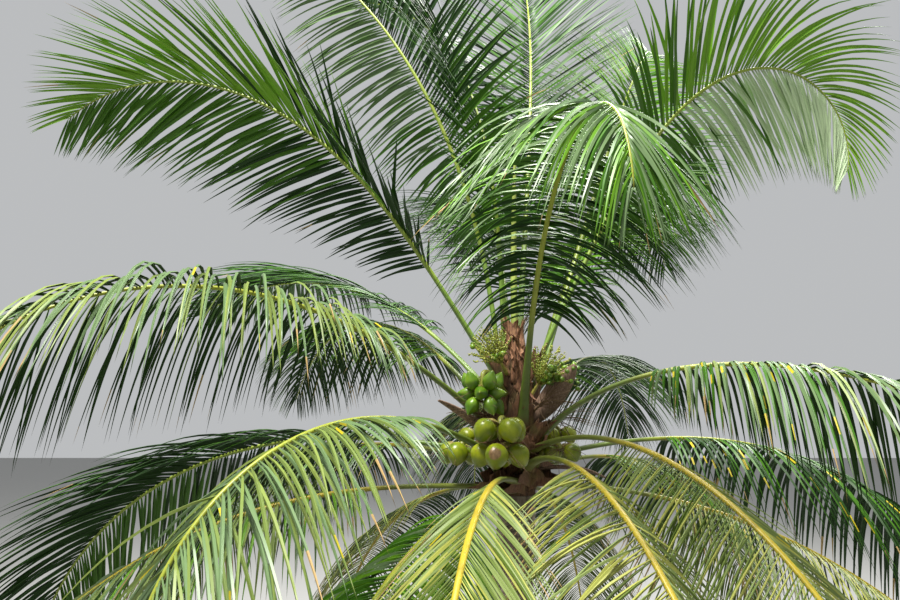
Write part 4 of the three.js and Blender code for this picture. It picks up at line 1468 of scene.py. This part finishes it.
@dataclass
class NutBunch:
    """A hanging bunch: a stalk that reaches out and down, nuts round it in tiers and dry strands.

    Args:
        name: The bunch's place on the palm.
        azimuth: Where the stalk leaves the core.
        seat: Height of that place over the trunk.
        reach: Distance from the core's middle line to the middle of the nuts.
        lift: How far the stalk rises before it hangs.
        tiers: Tiers of nuts, one over the other.
        tier: Nuts in a tier.
        step: Height from tier to tier, as a share of the nuts' size.
        size: Length of the longest nut, before its kind's scale.
        turn: Azimuth of the first nut.
        slopes: Slopes of the lowest and the highest tier's nuts, in degrees up from level.
        kind: Kind of nut.
        spread: How far apart a tier stands; at 1 its nuts just touch.
        worn: Number of the nut with a brown corky patch, or -1 for none.
        stalk_radius: Radius of the stalk near its foot.
        strands: Number of dry strands.
        rib_room: Distance kept from a nut's outside to the middle of a rib.
        husk_rows: Rings of vertices along a husk.
        husk_columns: Vertices round a husk.
    """

    name: str
    azimuth: float
    seat: float
    reach: float
    lift: float
    tiers: int
    tier: int
    step: float
    size: float
    turn: float
    slopes: tuple[float, float] = (-65, -65)
    kind: Nuts = Nuts.FULL
    spread: float = 1.1
    worn: int = -1
    stalk_radius: float = 0.024
    strands: int = 22
    rib_room: float = 0.042
    husk_rows: int = 22
    husk_columns: int = 24

    def stalk_line(self) -> Array:
        """Five guide points of the stalk, as the solid has them."""
        outward = level_direction(self.azimuth)
        seat = seat_point(self.azimuth, self.seat, 0.005)
        reach = self.reach - float(CORE.at(self.seat))
        hanging = self.size * (self.step * (self.tiers - 1) + 0.5)
        shares = np.array([0, 0.5, 0.85, 1, 1])[:, None]
        rises = np.array([0, 0.8 * self.lift, self.lift, self.lift - 0.2 * self.size, self.lift - hanging])
        return seat + outward * reach * shares + UP * rises[:, None]

    def stalk(self) -> Surface:
        """Stalk on a smooth curve through its guide points, by repeated corner cutting."""
        line = self.stalk_line()
        for _ in range(3):
            cut = np.stack([line[:-1] * 0.75 + line[1:] * 0.25, line[:-1] * 0.25 + line[1:] * 0.75], 1)
            line = np.concatenate([line[:1], cut.reshape(-1, 3), line[-1:]])
        share = np.linspace(0, 1, len(line))
        radii = self.stalk_radius * (1.15 - 0.45 * share)
        return rods(line[None], radii[None], 10)

    def dry_strands(self, generator: np.random.Generator) -> Surface:
        """Dry flower strands that stick out of the bunch between the nuts and droop at their ends."""
        line = self.stalk_line()
        share = generator.uniform(0, 1, self.strands)[:, None]
        root = line[3] * (1 - share) + line[4] * share
        angle = np.radians(generator.uniform(0, 360, self.strands))
        out = np.stack([np.cos(angle), np.sin(angle), generator.uniform(-0.5, 0.5, self.strands)], -1)
        length = self.size * generator.uniform(0.9, 1.7, self.strands)
        part = np.linspace(0, 1, 8)
        paths = root[:, None] + unit(out)[:, None] * (length[:, None] * part)[..., None]
        paths = paths - UP * (length[:, None] * 0.35 * part ** 2)[..., None]
        return rods(paths, np.tile(0.0028 * (1 - 0.55 * part), (self.strands, 1)), 5)

    def nut(self, centre: Array, direction: Array, neck: Array,
            generator: np.random.Generator) -> list[Surface]:
        """One nut with its neck and the cap of small bracts at its stalk end.

        The husk is a grid of the share along it and the angle: the radius follows a blunt egg and swells
        three times round, more towards the free end.

        Args:
            centre: Middle of the nut.
            direction: Unit vector to its free end.
            neck: Where the neck leaves the stalk.
            generator: Source of the small differences.

        Returns:
            The husk, then the cap and the neck.
        """
        kind = self.kind.value
        rows, columns = self.husk_rows, self.husk_columns
        share = np.linspace(0, 1, rows)
        outline = np.sin(np.pi * share ** 0.86) ** kind.plump * (1 - 0.1 * share)
        outline = outline * (1 - kind.point * np.clip(share - 0.5, 0, 1) ** 1.3)
        helper = unit(np.cross(direction, [0.3, 0.9, 0.2]))
        other = np.cross(direction, helper)
        angle = 2 * np.pi * np.arange(columns) / columns
        three = 1 + 0.06 * np.sin(np.pi * share[:, None]) * np.cos(3 * angle[None] + generator.uniform(0, 6))
        size = self.size * kind.scale * generator.uniform(0.9, 1.0)
        radius = size * kind.girth * outline[:, None] * three
        ring = helper * np.cos(angle)[:, None] + other * np.sin(angle)[:, None]
        middle = centre + direction * ((share - 0.5) * size)[:, None]
        wall = (middle[:, None] + ring[None] * radius[..., None]).reshape(-1, 3)
        uv = np.stack([np.repeat(share, columns), np.tile(angle / (2 * np.pi), rows)], -1)
        husk = Surface(
            np.concatenate([wall, middle[:1], middle[-1:]]), grid_quads(rows, columns, True),
            end_fans(rows, columns), uv=np.concatenate([uv, [[0, 0], [1, 0]]]),
        )
        shoulder = centre - direction * size * 0.47
        cap_line = shoulder + direction * (np.array([-0.05, 0.0, 0.05, 0.1, 0.115]) * size)[:, None]
        cap_radius = size * kind.girth * np.array([0.13, 0.33, 0.53, 0.6, 0.44])
        cap = rods(cap_line[None], cap_radius[None], 12)
        bend = np.stack([neck, (neck + shoulder) / 2, shoulder])
        stem = rods(bend[None], np.full((1, 3), self.size * 0.055), 8)
        for part in (cap, stem):
            part.paint(1)
        return [husk, cap, stem]

    def build(self, crown: Crown) -> list[bpy.types.Object]:
        """Makes and dresses the bunch; a nut that would stand in a rib is left out, as in the solid.

        Args:
            crown: The fronds that the nuts keep clear of.

        Returns:
            The nuts and the stalk.
        """
        generator = np.random.default_rng(int(self.seat * 1000))
        end = self.stalk_line()[-1]
        around = self.size * 0.45 / np.sin(np.pi / self.tier) * self.spread
        parts = []
        worn_at = None
        for index in range(self.tiers * self.tier):
            tier = index // self.tier
            side = level_direction(self.turn + 360 / self.tier * (index % self.tier + tier / 2))
            middle = end + UP * self.size * self.step * tier
            centre = middle + side * around
            if crown.rib_clearance(centre) < self.size / 2 + self.rib_room:
                continue
            share = tier / max(1, self.tiers - 1)
            slope = np.radians(self.slopes[0] * (1 - share) + self.slopes[1] * share)
            direction = side * np.cos(slope) + UP * np.sin(slope)
            neck = middle - UP * self.size * 0.27 * np.sin(slope) + side * 0.012
            husk, *cap_and_stem = self.nut(centre, direction, neck, generator)
            parts += [husk, *cap_and_stem]
            if index == self.worn:
                husk.paint(2)
                worn_at = tuple(centre + self.size * np.array([-0.05, -0.4, 0.14]))
        cap = WoodFinish("nut_cap", linear(94, 78, 38), linear(146, 134, 62))
        green_husk = self.kind.value.husk
        skins = [green_husk.material(), cap.material()]
        if worn_at:
            skins.append(replace(green_husk, name="worn_husk", worn_at=worn_at).material())
        nuts = Surface.join(parts).piece(self.name + "_husks", skins)
        green = StalkFinish("bunch_stalk", linear(112, 120, 46), linear(122, 126, 50))
        strands = self.dry_strands(generator)
        strands.paint(1)
        whole = Surface.join([self.stalk(), strands])
        stalk = whole.piece(self.name + "_stalk", [green.material(), DRY_WOOD.material()])
        for piece in (nuts, stalk):
            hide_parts(self.name)
            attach(piece, "root")
        return [nuts, stalk]


@dataclass
class FlowerSpray:
    """A broom of thin strands on a stalk, set with small green buttons and a few young nutlets.

    Args:
        name: The spray's place on the palm.
        azimuth: Where the stalk leaves the core.
        seat: Height of that place over the trunk.
        rise: Slope of the stalk, up from level.
        stalk: Length of the stalk.
        strands: Strands of the solid; each stands for four fine ones.
        strand: Length of a strand.
        spread: Angle of the widest strand off the stalk's line.
        buttons: Buttons on a fine strand.
        button_size: Half the length of the usual button.
        nutlets: Number of nutlets, all on the lowest third of the strands.
        nutlet_size: Half the length of the usual nutlet.
        strand_points: Points along a fine strand.
    """

    name: str
    azimuth: float
    seat: float
    rise: float
    stalk: float
    strands: int
    strand: float
    spread: float
    buttons: int = 22
    button_size: float = 0.0075
    nutlets: int = 6
    nutlet_size: float = 0.026
    strand_points: int = 9

    def lines(self) -> Array:
        """Middle lines of the fine strands, shaped strand, point, coordinate.

        A strand leans off the stalk's line by spread times the root of its share, turned 2.4 radians on
        from the one before. It waves sideways and sags by the square of the share out.
        """
        direction = raised_direction(self.azimuth, self.rise)
        seat = seat_point(self.azimuth, self.seat, 0.012)
        side = unit(np.cross(direction, UP))
        other = np.cross(side, direction)
        count = self.strands * 4
        share = (np.arange(count) + 0.5) / count
        turn = 2.4 * np.arange(count)
        lean = np.radians(self.spread * np.sqrt(share))
        heading = (
            direction * np.cos(lean)[:, None]
            + side * (np.sin(lean) * np.cos(turn))[:, None]
            + other * (np.sin(lean) * np.sin(turn))[:, None]
        )
        root = seat + direction * (self.stalk * (0.72 + 0.34 * (1 - share)))[:, None]
        out = np.linspace(0, 1, self.strand_points)
        wave = 0.012 * np.sin(2 * np.pi * out[None] + turn[:, None]) * out
        line = root[:, None] + heading[:, None] * (self.strand * out)[None, :, None]
        fall = self.strand * 0.14 * share[:, None] * out ** 2
        return line - UP * fall[..., None] + side * wave[..., None]

    def green_buttons(self, lines: Array, generator: np.random.Generator) -> Surface:
        """Small round buttons scattered along the strands.

        Args:
            lines: Middle lines of the strands.
            generator: Source of their places, turns and sizes.

        Returns:
            The buttons.
        """
        place = generator.uniform(0.12, 1.0, (len(lines), self.buttons))
        index = place * (lines.shape[1] - 1)
        low = np.minimum(index.astype(int), lines.shape[1] - 2)
        rows = np.arange(len(lines))[:, None]
        part = (index - low)[..., None]
        at = lines[rows, low] * (1 - part) + lines[rows, low + 1] * part
        at = at.reshape(-1, 3) + generator.normal(0, 0.004, (at.size // 3, 3))
        axis = unit(generator.normal(0, 1, at.shape))
        size = self.button_size * generator.uniform(0.6, 1.25, len(at))
        steps = np.array([-1.0, -0.5, 0.4, 1.0])
        bead = at[:, None] + axis[:, None] * (size[:, None] * steps)[..., None]
        return rods(bead, size[:, None] * np.array([0.35, 0.85, 0.8, 0.2]), 5)

    def young_nutlets(self, lines: Array, generator: np.random.Generator) -> Surface:
        """Pointed nutlets on the strands that end lowest.

        Args:
            lines: Middle lines of the strands.
            generator: Source of their places, turns and sizes.

        Returns:
            The nutlets.
        """
        lowest = np.argsort(lines[:, -1, 2])[: len(lines) // 3]
        row = generator.choice(lowest, self.nutlets)
        knot = generator.integers(3, self.strand_points, self.nutlets)
        at = lines[row, knot] + generator.normal(0, 0.012, (self.nutlets, 3))
        axis = unit(generator.normal(0, 1, at.shape) + UP)
        size = self.nutlet_size * generator.uniform(0.6, 1.15, self.nutlets)
        steps = np.array([-1.0, -0.82, -0.35, 0.2, 0.7, 1.05])
        young = at[:, None] + axis[:, None] * (size[:, None] * steps)[..., None]
        return rods(young, size[:, None] * np.array([0.3, 0.6, 0.82, 0.76, 0.42, 0.06]), 10)

    def build(self) -> list[bpy.types.Object]:
        """Makes and dresses the strands, their stalk, the buttons and the nutlets along them."""
        generator = np.random.default_rng(int(self.seat * 997))
        lines = self.lines()
        direction = raised_direction(self.azimuth, self.rise)
        seat = seat_point(self.azimuth, self.seat, 0.005)
        path = seat + direction * np.linspace(0, self.stalk * 1.15, 8)[:, None]
        stalk = rods(path[None], np.linspace(0.017, 0.009, 8)[None], 8)
        radii = np.tile(np.linspace(0.0034, 0.0015, self.strand_points), (len(lines), 1))
        strands = rods(lines, radii, 5)
        buttons = self.green_buttons(lines, generator)
        buttons.paint(1)
        nutlets = self.young_nutlets(lines, generator)
        nutlets.paint(2)
        pale = WoodFinish("flower_strand", linear(128, 126, 48), linear(172, 166, 74), 0.55)
        green = HuskFinish("flower_button", linear(104, 122, 40), linear(148, 150, 58), linear(150, 128, 64))
        small = Nuts.YOUNG.value.husk
        made = Surface.join([stalk, strands, buttons, nutlets])
        piece = made.piece(self.name + "_strands", [pale.material(), green.material(), small.material()])
        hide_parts(self.name)
        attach(piece, "root")
        return [piece]


@dataclass
class DrySpray:
    """What is left of an old flower spray: a woody stalk with bare crooked twigs.

    Args:
        beside: The spathe that it came out of.
        azimuth: Where the stalk leaves the core.
        seat: Height of that place over the trunk.
        rise: Slope of the stalk, up from level.
        stalk: Length of the stalk.
        twigs: Number of twigs.
        twig: Length of the longest twig.
        twig_points: Points along a twig.
    """

    beside: str
    azimuth: float
    seat: float
    rise: float
    stalk: float = 0.2
    twigs: int = 26
    twig: float = 0.42
    twig_points: int = 10

    def surface(self, generator: np.random.Generator) -> Surface:
        """Stalk and twigs: each twig leaves the stalk askew, wanders from side to side and droops.

        Args:
            generator: Source of the twigs' directions.

        Returns:
            The spray.
        """
        direction = raised_direction(self.azimuth, self.rise)
        seat = seat_point(self.azimuth, self.seat, -0.01)
        path = seat + direction * np.linspace(0, self.stalk * 1.1, 6)[:, None]
        share = np.linspace(0, 1, self.twig_points)
        heading = unit(direction + generator.normal(0, 0.42, (self.twigs, 3)))
        side = unit(np.cross(heading, UP))
        root = seat + direction * (self.stalk * generator.uniform(0.5, 1.05, self.twigs))[:, None]
        length = self.twig * generator.uniform(0.5, 1.0, self.twigs)[:, None]
        phase = generator.uniform(0, 6.3, (self.twigs, 1))
        wave = 0.03 * length * np.sin(11 * share + phase) * share
        lines = root[:, None] + heading[:, None] * (length * share)[..., None]
        lines = lines + side[:, None] * wave[..., None]
        lines = lines - UP * (0.3 * length * share ** 2)[..., None]
        stalk = rods(path[None], np.linspace(0.014, 0.007, 6)[None], 8)
        radii = np.tile(0.0034 * (1 - 0.6 * share), (self.twigs, 1))
        return Surface.join([stalk, rods(lines, radii, 5)])

    def build(self) -> list[bpy.types.Object]:
        """Makes and dresses the dry spray."""
        made = self.surface(np.random.default_rng(int(self.seat * 991)))
        piece = made.piece("dry_spray_" + self.beside, [DRY_WOOD.material()])
        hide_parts(self.beside)
        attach(piece, "root")
        return [piece]


@dataclass
class Spathe:
    """A woody boat-shaped bract, open along its upper side.

    Args:
        name: The spathe's place on the palm.
        azimuth: Where it leaves the core.
        seat: Height of that place over the trunk.
        rise: Slope of its foot, up from level.
        length: Length along its middle line.
        width: Width at its widest.
        bow: How far its slope falls from foot to tip.
        turn: Turn about its middle line.
        thickness: Thickness of the wood.
        rows: Rows of vertices along it.
        columns: Vertices across one of its faces.
    """

    name: str
    azimuth: float
    seat: float
    rise: float
    length: float
    width: float
    bow: float
    turn: float
    thickness: float = 0.008
    rows: int = 40
    columns: int = 17

    def surface(self) -> Surface:
        """Shell of the boat on a grid of the share along it and the share across.

        The middle line bends by bow over its length. Half the width is the sine of the share to the power
        three quarters, and the section rises with the square of the share across. Long fine ribs run on
        both faces, and the inner and outer faces meet at the rim.

        Returns:
            The closed shell.
        """
        rows, columns = self.rows, self.columns
        share = np.linspace(0, 1, rows)
        outward = level_direction(self.azimuth)
        slope = np.radians(self.rise - self.bow * share)[:, None]
        along = outward * np.cos(slope) + UP * np.sin(slope)
        walked = np.cumsum(along[:-1] * self.length / (rows - 1), axis=0)
        centre = seat_point(self.azimuth, self.seat, 0.004) + np.concatenate([np.zeros((1, 3)), walked])
        level = np.array([outward[1], -outward[0], 0])
        over = np.cross(np.broadcast_to(level, along.shape), along)
        roll = np.radians(self.turn)
        across = level * np.cos(roll) - over * np.sin(roll)
        upper = np.cross(across, along)
        half = self.width / 2 * np.sin(np.pi * (0.13 + 0.84 * share)) ** 0.75
        spread = np.linspace(-1, 1, columns)
        raised = half[:, None] * 0.55 * spread ** 2 + 0.0012 * np.sin(26 * spread) * np.ones((rows, 1))
        sheet = (
            centre[:, None]
            + across[:, None] * (half[:, None] * spread)[..., None]
            + upper[:, None] * raised[..., None]
        )
        lifted = sheet + upper[:, None] * self.thickness
        loop = np.concatenate([lifted, sheet[:, ::-1]], axis=1)
        wide = 2 * columns
        edge = np.arange(columns - 1)
        foot = np.stack([edge, wide - 1 - edge, wide - 2 - edge, 1 + edge], -1)
        tip = foot[:, ::-1] + (rows - 1) * wide
        quads = np.concatenate([grid_quads(rows, wide, True), foot, tip])
        uv = np.stack([np.repeat(share, wide), np.tile(np.linspace(0, 1, wide), rows)], -1)
        return Surface(loop.reshape(-1, 3), quads, uv=uv)

    def build(self) -> list[bpy.types.Object]:
        """Makes and dresses the spathe."""
        wood = WoodFinish("spathe_wood", linear(84, 62, 48), linear(148, 122, 102))
        piece = self.surface().piece(self.name + "_shell", [wood.material()])
        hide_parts(self.name)
        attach(piece, "root")
        return [piece]


@dataclass
class Studio:
    """Pale floor and sky, soft light, and the camera in front of the crown, level with the nuts.

    Args:
        camera_place: Where the camera stands.
        pitch: Its tilt, up from level.
        lens: Its focal length in millimetres.
        sensor: Width of its picture in millimetres.
        aim: Where the lamps point.
        floor_edge: Distance from the middle of the floor to its edge.
        floor_colour: Colour of the floor.
        sky_colour: Colour of the sky.
        sky_strength: Brightness of the sky.
        key_power: Power of the lamp high in front, in watts.
        glow_power: Power of the lamp high behind, in watts.
    """

    camera_place: tuple[float, float, float] = (-0.40, -5.54, 3.45)
    pitch: float = 9.7
    lens: float = 28.0
    sensor: float = 36
    aim: tuple[float, float, float] = (0.1, 0, 4)
    floor_edge: float = 60.0
    floor_colour: Colour = (0.36, 0.36, 0.35)
    sky_colour: Colour = (0.96, 0.98, 1.0)
    sky_strength: float = 0.52
    key_power: float = 4600
    glow_power: float = 3600

    def camera(self) -> None:
        """Sets a level camera that looks along +Y, tilted up by the pitch."""
        data = bpy.data.cameras.new("photographer")
        data.lens = self.lens
        data.sensor_width = self.sensor
        data.clip_start = 0.02
        data.clip_end = 400
        eye = bpy.data.objects.new("photographer", data)
        eye.location = self.camera_place
        eye.rotation_euler = (np.radians(90 + self.pitch), 0, 0)
        bpy.context.scene.collection.objects.link(eye)
        bpy.context.scene.camera = eye

    def lamp(self, name: str, place: tuple[float, float, float], size: float, power: float,
             colour: Colour = (1, 1, 1)) -> None:
        """Adds a square soft light that faces the crown.

        Args:
            name: The light's name.
            place: Where it hangs.
            size: Its side.
            power: Its power in watts.
            colour: Its tint.
        """
        data = bpy.data.lights.new(name, "AREA")
        data.energy = power
        data.size = size
        data.color = colour
        lamp = bpy.data.objects.new(name, data)
        lamp.location = place
        towards = Vector(self.aim) - Vector(place)
        lamp.rotation_euler = towards.to_track_quat("-Z", "Y").to_euler()
        bpy.context.scene.collection.objects.link(lamp)

    def floor(self) -> None:
        """Lays a wide pale floor at ground level."""
        edge = self.floor_edge
        corners = np.array([[-edge, -edge, 0], [edge, -edge, 0], [edge, edge, 0], [-edge, edge, 0]])
        sheet = NodeSheet("pale_floor")
        sheet.shader.inputs["Base Color"].default_value = (*self.floor_colour, 1)
        sheet.shader.inputs["Roughness"].default_value = 0.9
        floor = Surface(corners, np.array([[0, 1, 2, 3]])).piece("studio_floor", [sheet.material])

    def build(self) -> None:
        """Sets camera, floor, sky and lamps."""
        self.camera()
        self.floor()
        world = bpy.data.worlds.new("pale_sky")
        world.use_nodes = True
        background = world.node_tree.nodes["Background"]
        background.inputs["Color"].default_value = (*self.sky_colour, 1)
        background.inputs["Strength"].default_value = self.sky_strength
        bpy.context.scene.world = world
        self.lamp("high_key", (-3, -5, 15), 4.5, self.key_power, (1, 0.98, 0.93))
        self.lamp("back_glow", (5, 7, 15), 8, self.glow_power, (1, 0.99, 0.95))
        bpy.context.scene.view_settings.view_transform = "Standard"


# Name, azimuth, seat, reach, lift, tiers, tier, step, size, turn, slopes, kind, spread
BUNCHES = (
    NutBunch("nuts_front", 254, 0.39, 0.61, 0.2, 2, 4, 0.92, 0.19, 74, (-65, -60), worn=2),
    NutBunch("nuts_young", 230, 0.76, 0.43, 0.17, 3, 5, 0.66, 0.145, 10, (-55, 62), Nuts.YOUNG, 1.06),
    NutBunch("nuts_right", 320, 0.215, 0.39, 0.195, 1, 3, 0.92, 0.165, 0),
    NutBunch("nuts_left", 207, 0.17, 0.5, 0.24, 1, 3, 0.92, 0.18, 20),
    NutBunch("nuts_back_left", 129, 0.32, 0.45, 0.19, 2, 3, 0.92, 0.17, 0),
    NutBunch("nuts_back_right", 32, 0.37, 0.43, 0.15, 2, 3, 0.92, 0.15, 40),
)

# Name, azimuth, seat, rise, stalk, strands, strand, spread
SPRAYS = (
    FlowerSpray("flowers_left", 232, 0.92, 46, 0.15, 12, 0.29, 42),
    FlowerSpray("flowers_right", -32, 0.76, 54, 0.13, 13, 0.3, 50, nutlets=70),
    FlowerSpray("flowers_back", 98, 0.62, 44, 0.23, 10, 0.34, 44),
)

# Name, azimuth, seat, rise, length, width, bow, turn
SPATHES = (
    Spathe("spathe_left", 205, 0.36, 40, 0.62, 0.105, 12, 20),
    Spathe("spathe_right", -36, 0.56, 46, 0.56, 0.18, -4, -70),
    Spathe("spathe_low_right", -12, 0.175, 12, 0.52, 0.09, 35, 0),
    Spathe("spathe_back", 86, 0.53, 30, 0.64, 0.116, 26, 22),
)

# Spathe beside it, azimuth, seat, rise
DRY_SPRAYS = (
    DrySpray("spathe_right", -50, 0.6, 32),
    DrySpray("spathe_low_right", -14, 0.5, 24),
    DrySpray("spathe_left", 216, 0.54, 20),
    DrySpray("spathe_back", 66, 0.46, 26),
)


def report(made: list[bpy.types.Object]) -> None:
    """Logs each piece with its number of faces."""
    for piece in made:
        LOG.info("%s: %d faces", piece.name, len(piece.data.polygons))


def main() -> None:
    """Builds the palm from the ground up, then the studio round it."""
    logging.basicConfig(level=logging.INFO, format="%(message)s")
    crown = Crown()
    report(Trunk().build())
    report(SheathCore().build())
    report(Spear().build())
    report(crown.build())
    report(SheathCloth().build(crown))
    for bunch in BUNCHES:
        report(bunch.build(crown))
    for spray in SPRAYS:
        report(spray.build())
    for spathe in SPATHES + DRY_SPRAYS:
        report(spathe.build())
    Studio().build()


if __name__ == "__main__":
    main()
